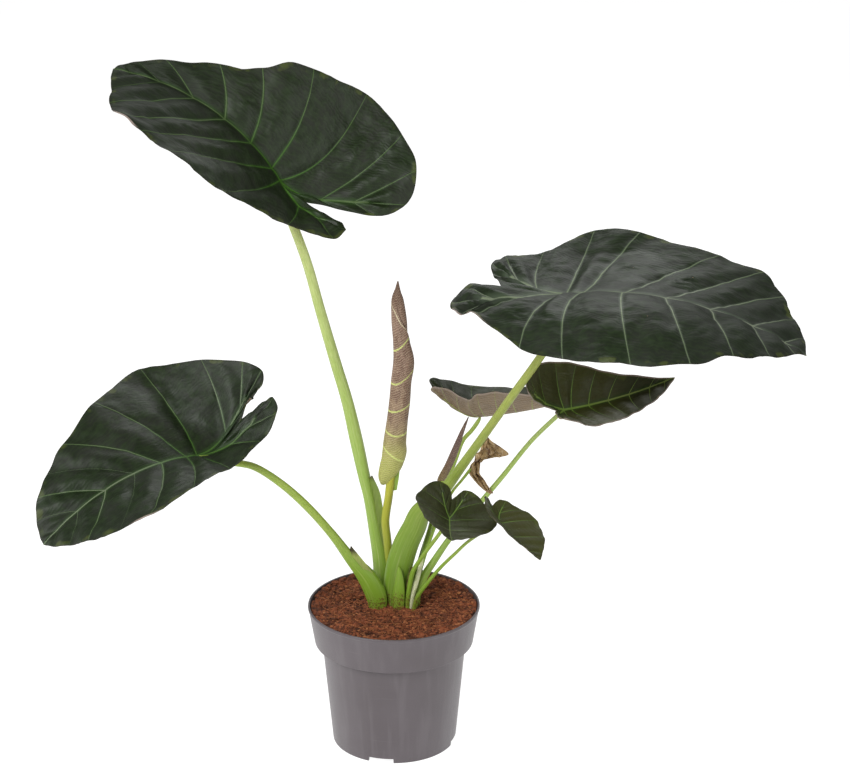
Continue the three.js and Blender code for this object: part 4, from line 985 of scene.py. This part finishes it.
WITHERED = {
    "thickness": 0.6,
    "one": [(112, 12, 392), (107, 15, 384), (104, 10, 375), (99, 14, 369), (97, 9, 362), (93, 13, 355),
            (91, 12, 346), (97, 14, 336), (103, 10, 330), (110, 14, 322), (117, 12, 318)],
    "two": [(113, 12, 392), (119, 8, 387), (128, 13, 379), (138, 12, 369), (116, 9, 366), (106, 13, 362),
            (104, 8, 355), (104, 13, 344), (109, 10, 338), (115, 12, 327), (120, 13, 319)],
}


# Folds along the dry leaf: how many lie side by side, their depth, and how far it crumples
WITHERED_FOLDS = 2.5
FOLD_DEPTH = 14
CRUMPLE = 2.2
# Vector noise takes its offsets from the clock unless it is seeded
CRUMPLE_SEED = 3


def make_withered():
    """A dry leaf hanging from its petiole as one crumpled sheet, pinched into sharp lengthwise folds."""
    grid = sheet_between(WITHERED["one"], WITHERED["two"], 110, 40)
    row, column = np.meshgrid(*(np.linspace(0, 1, count) for count in grid.shape[:2]), indexing="ij")
    fold = np.abs((column * WITHERED_FOLDS + 0.6 * np.sin(7 * row)) % 1 - 0.5) - 0.25
    inside = np.sin(np.pi * column) ** 0.5
    noise.seed_set(CRUMPLE_SEED)
    crumple = np.array([noise.noise_vector(Vector(p * 0.16)) for p in grid.reshape(-1, 3)]) * CRUMPLE
    grid = grid + crumple.reshape(grid.shape) * inside[..., None]
    grid[..., 1] += FOLD_DEPTH * fold * inside
    places, faces = thick_sheet(grid, WITHERED["thickness"])
    new_piece("withered_leaf_skin", places, faces, "withered_leaf",
              (WITHERED_LEAF,), sharp=25)


make_withered()

# Pot

POT = {
    "height": 179, "rim": 105, "rimLip": 3, "collarTop": 104, "collarFoot": 97, "collarZ": 132,
    "body": 88, "foot": 76, "wall": 1.6, "floorZ": 8, "floor": 2.4, "footRing": 3.5, "pad": 18,
    "notch": 31, "notchHeight": 6, "notches": 4, "firstNotch": -102,
    "drains": 8, "drainRing": 52, "drain": 6,
}


def inner_radius(z):
    """The pot's inside, a wall's thickness in from the body or, higher up, from the collar."""
    if z < POT["collarZ"] + POT["wall"]:
        return POT["foot"] + (POT["body"] - POT["foot"]) * z / POT["collarZ"] - POT["wall"]
    rise = (z - POT["collarZ"]) / (POT["height"] - POT["collarZ"])
    return POT["collarFoot"] + (POT["collarTop"] - POT["collarFoot"]) * rise - POT["wall"]


def pot_profile():
    """The section from the middle of the underside, up the outside, and back down the inside."""
    floor_top = POT["floorZ"] + POT["floor"]
    lip = POT["height"] - POT["rimLip"]
    return [
        (0, 0), (POT["pad"], 0), (POT["pad"] + 2, POT["floorZ"]),
        (POT["foot"] - POT["footRing"] - 3, POT["floorZ"]), (POT["foot"] - POT["footRing"], 0),
        (POT["foot"], 0),
        (POT["body"], POT["collarZ"] - 1), (POT["collarFoot"], POT["collarZ"]), (POT["collarTop"], lip - 1),
        (POT["rim"], lip), (POT["rim"] - 0.3, POT["height"]), (inner_radius(POT["height"]), POT["height"]),
        (inner_radius(POT["collarZ"] + 3), POT["collarZ"] + 3),
        (inner_radius(POT["collarZ"]), POT["collarZ"] + POT["wall"]),
        (inner_radius(floor_top), floor_top), (0, floor_top),
    ]


# Soil

SOIL = {"level": 173, "mound": 6, "moundReach": 55, "gap": 0.65}
CRUMBS = [
    {"height": 0.8, "x": 0.31, "y": 0.2, "phase": 1.3}, {"height": 0.5, "x": 0.19, "y": 0.53, "phase": 0},
    {"height": 0.4, "x": 0.71, "y": -0.6, "phase": 1.6},
]
# Finer lumps: how many to a millimetre, seed and height
LUMP_SIZES = [(0.07, 0, 2.4), (0.22, 4, 2.0)]
# Hollows beside the stem bases, painted dark as shade: middle, reach and depth
HOLLOWS = [(-36, 8, 12, 5), (-28, 22, 12, 4), (22, 14, 10, 4), (32, -2, 8, 3)]
LOOSE_CRUMBS = 4200
LOOSE_FIBRES = 1500


def soil_relief(x, y):
    """Lumps of two sizes and the hollows."""
    lumps = sum(noise.noise(Vector((x * scale, y * scale, seed))) * high for scale, seed, high in LUMP_SIZES)
    dips = sum(deep * math.exp(-(math.hypot(x - i, y - j) / reach) ** 2) for i, j, reach, deep in HOLLOWS)
    return lumps - dips


def soil_height(x, y):
    """The bed's own waves, highest round the stems and at the back, with finer relief on top."""
    heap = SOIL["mound"] * math.exp(-((math.hypot(x, y) / SOIL["moundReach"]) ** 2))
    waves = sum(c["height"] * math.sin(c["x"] * x + c["y"] * y + c["phase"]) for c in CRUMBS)
    at_back = 2.5 * min(1, max(0, (y + 20) / 100))
    at_wall = 2.5 * min(1, math.hypot(x, y) / 95) ** 3
    return SOIL["level"] + heap + waves + at_back + at_wall + soil_relief(x, y)


SOIL_RADIUS = inner_radius(SOIL["level"]) - SOIL["gap"]


def make_soil():
    """A crumbly bed with loose crumbs and fibres on it; below the surface it is plain."""
    draw = random.Random(7)
    sides, rings = 200, 70
    turns = [2 * math.pi * i / sides for i in range(sides)]
    base = POT["floorZ"] + POT["floor"] + SOIL["gap"]
    shoulder = POT["collarZ"] + 3 + SOIL["gap"]
    body = inner_radius(POT["collarZ"]) - SOIL["gap"]
    walls = [(inner_radius(base) - SOIL["gap"], base), (body, POT["collarZ"]), (body, shoulder),
             (inner_radius(shoulder) - SOIL["gap"], shoulder)]
    places = [(*spot(radius, turn), z) for radius, z in walls for turn in turns]
    tone = [0.2] * len(places)
    for ring in range(rings + 1):
        radius = SOIL_RADIUS * (1 - ring / rings) + 0.01
        for turn in turns:
            x, y = spot(radius, turn)
            places.append((x, y, soil_height(x, y)))
            # The bed's tone follows its relief: low places are painted darker, a painted shade
            tone.append(min(0.5, max(0, 0.27 + 0.16 * soil_relief(x, y))))
    faces = tube_faces(len(walls) + rings + 1, sides)
    for _ in range(LOOSE_CRUMBS):
        add_crumb(draw, places, faces, tone)
    for _ in range(LOOSE_FIBRES):
        add_fibre(draw, places, faces, tone)
    new_piece("coir_bed", places, faces, "soil", (COIR,), attributes={"crumb": tone}, sharp=30)


def on_soil(draw, inset):
    x, y = spot((SOIL_RADIUS - inset) * math.sqrt(draw.random()), draw.uniform(0, 2 * math.pi))
    return np.array([x, y, soil_height(x, y)])


# A crumb is a stretched ball of twenty faces: its top, two rings of five corners and its foot
CRUMB_CORNERS = [
    (0, 0, 1), (0.9, 0, 0.45), (0.28, 0.85, 0.45), (-0.72, 0.53, 0.45), (-0.72, -0.53, 0.45),
    (0.28, -0.85, 0.45), (0.7, 0.5, -0.4), (-0.3, 0.85, -0.4), (-0.85, 0, -0.4), (-0.3, -0.85, -0.4),
    (0.7, -0.5, -0.4), (0, 0, -1),
]
CRUMB_FACES = []
for this in range(5):
    other = (this + 1) % 5
    CRUMB_FACES += [(0, 1 + this, 1 + other), (1 + this, 6 + this, 1 + other),
                    (1 + other, 6 + this, 6 + other), (11, 6 + other, 6 + this)]


def add_crumb(draw, places, faces, tone):
    size = draw.uniform(0.6, 2.1)
    stretch = np.array([draw.uniform(0.7, 1.6), draw.uniform(0.7, 1.6), draw.uniform(0.5, 0.9)]) * size
    turn = draw.uniform(0, math.pi)
    across, ahead = math.cos(turn), math.sin(turn)
    centre = on_soil(draw, 3) + np.array([0, 0, size * 0.15])
    shade = 0.15 + 0.75 * draw.random() ** 2
    start = len(places)
    for corner in CRUMB_CORNERS:
        x, y, z = corner * stretch * draw.uniform(0.75, 1.2)
        places.append(centre + (x * across - y * ahead, x * ahead + y * across, z))
        tone.append(shade)
    faces.extend(tuple(start + i for i in face) for face in CRUMB_FACES)


def add_fibre(draw, places, faces, tone):
    length = draw.uniform(5, 16)
    half = draw.uniform(0.16, 0.38)
    heading = draw.uniform(0, 2 * math.pi)
    bend = draw.uniform(-1.2, 1.2)
    centre = on_soil(draw, 18) + np.array([0, 0, draw.uniform(0.3, 1.6)])
    tilt = draw.uniform(-0.15, 0.15)
    shade = draw.uniform(0.3, 1)
    steps, sides = 5, 3
    start = len(places)
    place = centre
    for step in range(steps + 1):
        direction = heading + bend * step / steps
        place = place + np.array([math.cos(direction), math.sin(direction), tilt]) * length / steps
        across = np.array([-math.sin(direction), math.cos(direction), 0])
        for i in range(sides):
            angle = 2 * math.pi * i / sides
            places.append(place + half * (across * math.cos(angle) + np.array([0, 0, math.sin(angle)])))
            tone.append(shade)
    faces.extend(tuple(start + i for i in face) for face in tube_faces(steps + 1, sides))


make_soil()

# Turning the pot


def eased(profile, radius):
    """The section with each corner rounded over, as a mould leaves it."""
    points = np.array(profile, float)
    out = [points[0]]
    for before, corner, after in zip(points, points[1:], points[2:]):
        reach = min(radius, np.linalg.norm(before - corner) / 2, np.linalg.norm(after - corner) / 2)
        start = corner + (before - corner) / np.linalg.norm(before - corner) * reach
        end = corner + (after - corner) / np.linalg.norm(after - corner) * reach
        for t in (0, 0.33, 0.67, 1):
            out.append((1 - t) ** 2 * start + 2 * t * (1 - t) * corner + t * t * end)
    out.append(points[-1])
    return out


def prism(outline, low, high):
    """A solid to cut with: a flat outline between two heights."""
    places = [(x, y, z) for z in (low, high) for x, y in outline]
    return placed("cutter", mesh_of("cutter", places, tube_faces(2, len(outline))))


# How far a cutter reaches past what it cuts
NOTCH_REACH = 10
DRAIN_REACH = 4


def make_pot():
    """The turned form, with the foot's notches and the drain holes cut from it."""
    sides = 144
    profile = eased(pot_profile(), 0.8)
    angle = np.arange(sides) / sides * 2 * np.pi
    places = [(*spot(max(r, 0.001), a), z) for r, z in profile for a in angle]
    faces = tube_faces(len(profile), sides)[:-2]
    piece = new_piece("grower_pot", places, faces, "pot", (POT_PLASTIC,))
    cutters = []
    for i in range(POT["notches"]):
        out = np.array(spot(1, math.radians(POT["firstNotch"] + i * 360 / POT["notches"])))
        aside = np.array([-out[1], out[0]]) * POT["notch"] / 2
        near, far = out * (POT["foot"] - NOTCH_REACH), out * (POT["foot"] + NOTCH_REACH)
        corners = [near - aside, far - aside, far + aside, near + aside]
        cutters.append(prism(corners, -POT["notchHeight"], POT["notchHeight"]))
    for i in range(POT["drains"]):
        centre = np.array(spot(POT["drainRing"], i / POT["drains"] * 2 * math.pi))
        ring = [centre + spot(POT["drain"], a) for a in np.arange(32) / 16 * np.pi]
        cutters.append(prism(ring, POT["floorZ"] - DRAIN_REACH, POT["floorZ"] + POT["floor"] + DRAIN_REACH))
    for cutter in cutters:
        cut = piece.modifiers.new("cut", "BOOLEAN")
        cut.operation = "DIFFERENCE"
        cut.object = cutter
        cut.solver = "EXACT"
    depsgraph = bpy.context.evaluated_depsgraph_get()
    piece.data = bpy.data.meshes.new_from_object(piece.evaluated_get(depsgraph))
    piece.modifiers.clear()
    for cutter in cutters:
        bpy.data.objects.remove(cutter)
    piece.data.set_sharp_from_angle(angle=math.radians(35))


make_pot()

# Floor and light

FLOOR_REACH = 15000
FLOOR_DROP = 0.5
FLOOR_GLOW = 0.93
ROOM_GLOW = 0.14
LIGHTS_AIM = (0, 0, 0.45)
# Soft lights: place in metres, width, height and watts
LIGHTS = {
    "key": ((-1.5, -2.4, 2.6), 1.6, 1.6, 108),
    "left": ((-2.6, 0.0, 1.4), 1.2, 1.8, 22),
    "right": ((2.3, -1.7, 1.3), 1.2, 1.8, 27),
    "back": ((0.5, 2.2, 2.2), 2.2, 1.0, 27),
}


def make_floor():
    """A white table that glows, as one lit from below does."""
    edge = FLOOR_REACH
    corners = [(x, y, -FLOOR_DROP) for x, y in ((-edge, -edge), (edge, -edge), (edge, edge), (-edge, edge))]
    floor = placed("floor", mesh_of("floor", corners, [(0, 1, 2, 3)]))
    material, tree = blank_material("white_table")
    surface = add(tree, "ShaderNodeBsdfPrincipled", {
        "Base Color": "#989898", "Roughness": 1.0,
        "Emission Color": "#FFFFFF", "Emission Strength": FLOOR_GLOW,
    })
    add(tree, "ShaderNodeOutputMaterial", {"Surface": surface})
    floor.data.materials.append(material)


def soft_light(name, place, wide, high, watts):
    data = bpy.data.lights.new(name, "AREA")
    data.shape = "RECTANGLE"
    data.size = wide
    data.size_y = high
    data.energy = watts
    light = placed(name, data)
    light.location = place
    light.rotation_euler = (Vector(LIGHTS_AIM) - Vector(place)).to_track_quat("-Z", "Y").to_euler()


def make_light():
    world = bpy.data.worlds.new("studio")
    bpy.context.scene.world = world
    world.use_nodes = True
    world.node_tree.nodes.clear()
    room = add(world.node_tree, "ShaderNodeBackground", {"Color": (1, 1, 1, 1), "Strength": ROOM_GLOW})
    add(world.node_tree, "ShaderNodeOutputWorld", {"Surface": room})
    for name, light in LIGHTS.items():
        soft_light(name, *light)
    bpy.context.scene.view_settings.view_transform = "Standard"


make_floor()
make_light()
